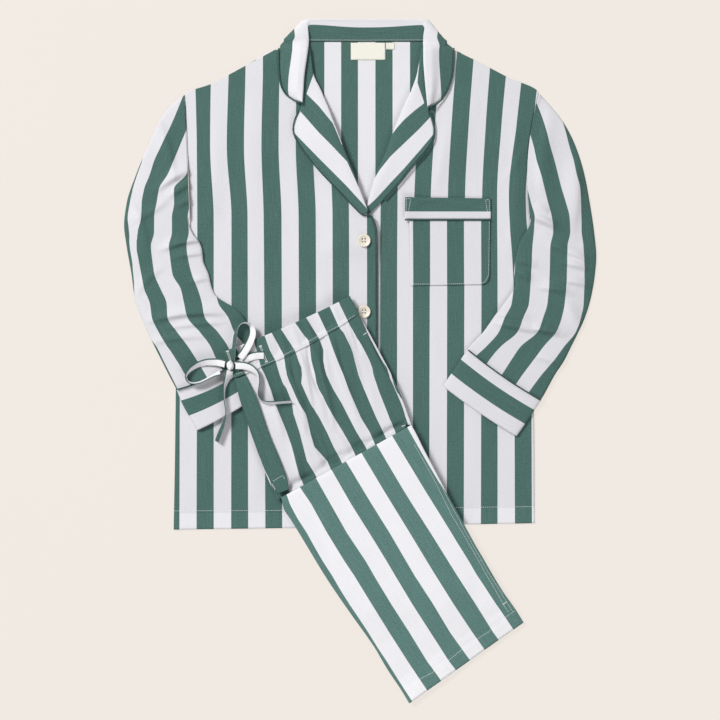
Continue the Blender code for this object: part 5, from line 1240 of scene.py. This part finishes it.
def stitch(surface, start, end, width=0.6):
    """One stitch from start to end, in mm, lying on the surface and sunk at both ends."""
    heights = [height_on(surface, *spot) for spot in (start, end)]
    if None in heights:
        return
    start, end = np.array([*start, heights[0]]), np.array([*end, heights[1]])
    run = (end - start)[:2] / max(np.hypot(*(end - start)[:2]), 1e-6)
    side = np.array([run[1], -run[0], 0.0]) * width / 2.0
    first = len(stitch_corners)
    for share, rise, size in ((0.0, -0.15, 0.45), (0.25, 0.1, 1.0), (0.75, 0.1, 1.0),
                              (1.0, -0.15, 0.45)):
        middle = start + (end - start) * share + (0.0, 0.0, rise)
        for way, lift in ((-1.0, 0.0), (0.0, 0.28), (1.0, 0.0), (0.0, -0.28)):
            spot = middle + side * way * size + (*CENTRE, lift * size)
            stitch_corners.append(tuple(spot * MM))
    for ring in range(3):
        for corner in range(4):
            near, after = first + 4 * ring + corner, first + 4 * ring + (corner + 1) % 4
            stitch_faces.append((near, near + 4, after + 4, after))
    stitch_faces.append((first, first + 1, first + 2, first + 3))
    stitch_faces.append((first + 15, first + 14, first + 13, first + 12))


def sew_along(surface, *route, pitch=2.7, length=2.2, width=0.6):
    """A row of stitches along a route of plan points, in mm."""
    route = table(*route)
    knots = run_along(route)
    for begin in np.arange(0.0, knots[-1] - length, pitch):
        ends = [[np.interp(at, knots, route[:, axis]) for axis in (0, 1)]
                for at in (begin, begin + length)]
        stitch(surface, *ends, width=width)


def way_of(start, end):
    """A short line's length, and the directions along it and to its right."""
    length = np.hypot(*(end - start))
    run = (end - start) / length
    return length, run, np.array([run[1], -run[0]])


def bar_tack(surface, start, end):
    """A tack: close stitches across a short line."""
    start, end = table(start, end)
    length, run, side = way_of(start, end)
    for at in np.arange(0.0, length, 0.8):
        stitch(surface, start + run * at - side * 0.9, start + run * at + side * 0.9)


def buttonhole(surface, start, end):
    """A worked buttonhole: a dense row each side of the slit, and a bar at each end."""
    start, end = table(start, end)
    _, run, side = way_of(start, end)
    for off in (-0.9, 0.9):
        sew_along(surface, start + side * off, end + side * off, pitch=1.0, length=1.0, width=1.0)
    for spot in (start, end):
        for off in (-0.5, 0.5):
            stitch(surface, spot - side * 2.6 + run * off, spot + side * 2.6 + run * off,
                   width=0.9)


def gather_stitches(name):
    """Makes one piece of the stitches sewn so far."""
    mesh = bpy.data.meshes.new(name)
    mesh.from_pydata(stitch_corners, [], stitch_faces)
    turn_outward(mesh)
    new_piece(name, mesh, thread_cotton)
    stitch_corners.clear()
    stitch_faces.clear()


left_cloth, right_cloth = surface_of(front_right), surface_of(front_left)
sew_along(left_cloth, (-262, -210.6), (-120, -210), (20, -208.5))
sew_along(right_cloth, (24, -206.5), (120, -206), (244.5, -204.5))
sew_along(surface_of(collar), (-76, 449), (0, 448.6), (88, 449))
pocket_cloth, band_cloth = surface_of(pocket), surface_of(pocket_band)
sew_along(pocket_cloth, (70, 195), (69.8, 107), (166, 107.4), (172.5, 110), (176.6, 115.5),
          (178, 122), (178.6, 160), (178.9, 195))
sew_along(band_cloth, (62.5, 199.5), (62.8, 226.5), (68.6, 226.3), (66, 209), (62.8, 207))
sew_along(band_cloth, (179.3, 199.5), (179, 225), (173.5, 225), (176, 209), (179.2, 207))
label_cloth = surface_of(*neck_tapes)
for label_x in (-14.2, 32.7):
    sew_along(label_cloth, (label_x, 422), (label_x, 444), pitch=2, length=1.4)
gather_stitches("jacket_stitches")

STRAND_REACH = 0.95            # of a button's thread, from its middle towards the holes, mm
for button in shirt_buttons:
    spots = np.array([corner.co[:] for corner in button.data.vertices])
    middle = spots.mean(axis=0)[:2] / MM - CENTRE
    for way in (-1.0, 1.0):
        reach = np.array([STRAND_REACH, way * STRAND_REACH])
        for off in (-0.35, 0.35):
            stitch(surface_of(button), middle - reach + (0.0, off), middle + reach + (0.0, off))
gather_stitches("button_thread")

upper_cloth = surface_of(leg_upper, waistband, placket)
lower_cloth = surface_of(leg_lower)
sew_along(upper_cloth, (-175.4, -19), (-156, -13), (-139, -7), (-122, 0), (-108, 8),
          (-96, 14), (-71, 28), (-61, 34), (-49, 39.5), (-31, 48.5), (-18, 57.5), (-8, 64))
sew_along(lower_cloth, (81, -446), (100, -436), (122, -419), (141, -404), (163, -389),
          (181, -377), (203, -358), (215, -349))
sew_along(lower_cloth, (73.5, -117), (101, -165.6), (127, -218), (148, -252), (171.5, -294),
          (198, -340), (206, -353))
sew_along(lower_cloth, (105, -160.5), (121.5, -195), (145.5, -240), (176, -294), (212, -352))
buttonhole(upper_cloth, (-141, 20), (-132.5, -1.5))
buttonhole(upper_cloth, (-187, 13), (-180, -8))
bar_tack(upper_cloth, (3, 36), (8, 39))
bar_tack(upper_cloth, (56, -92), (62, -90))
bar_tack(lower_cloth, (197.5, -341), (203, -337))
sew_along(upper_cloth, (-128, -171), (-110.5, -160.5), (-106, -166))
bar_tack(upper_cloth, (-125, -172.5), (-120.5, -180.5))
gather_stitches("trouser_stitches")
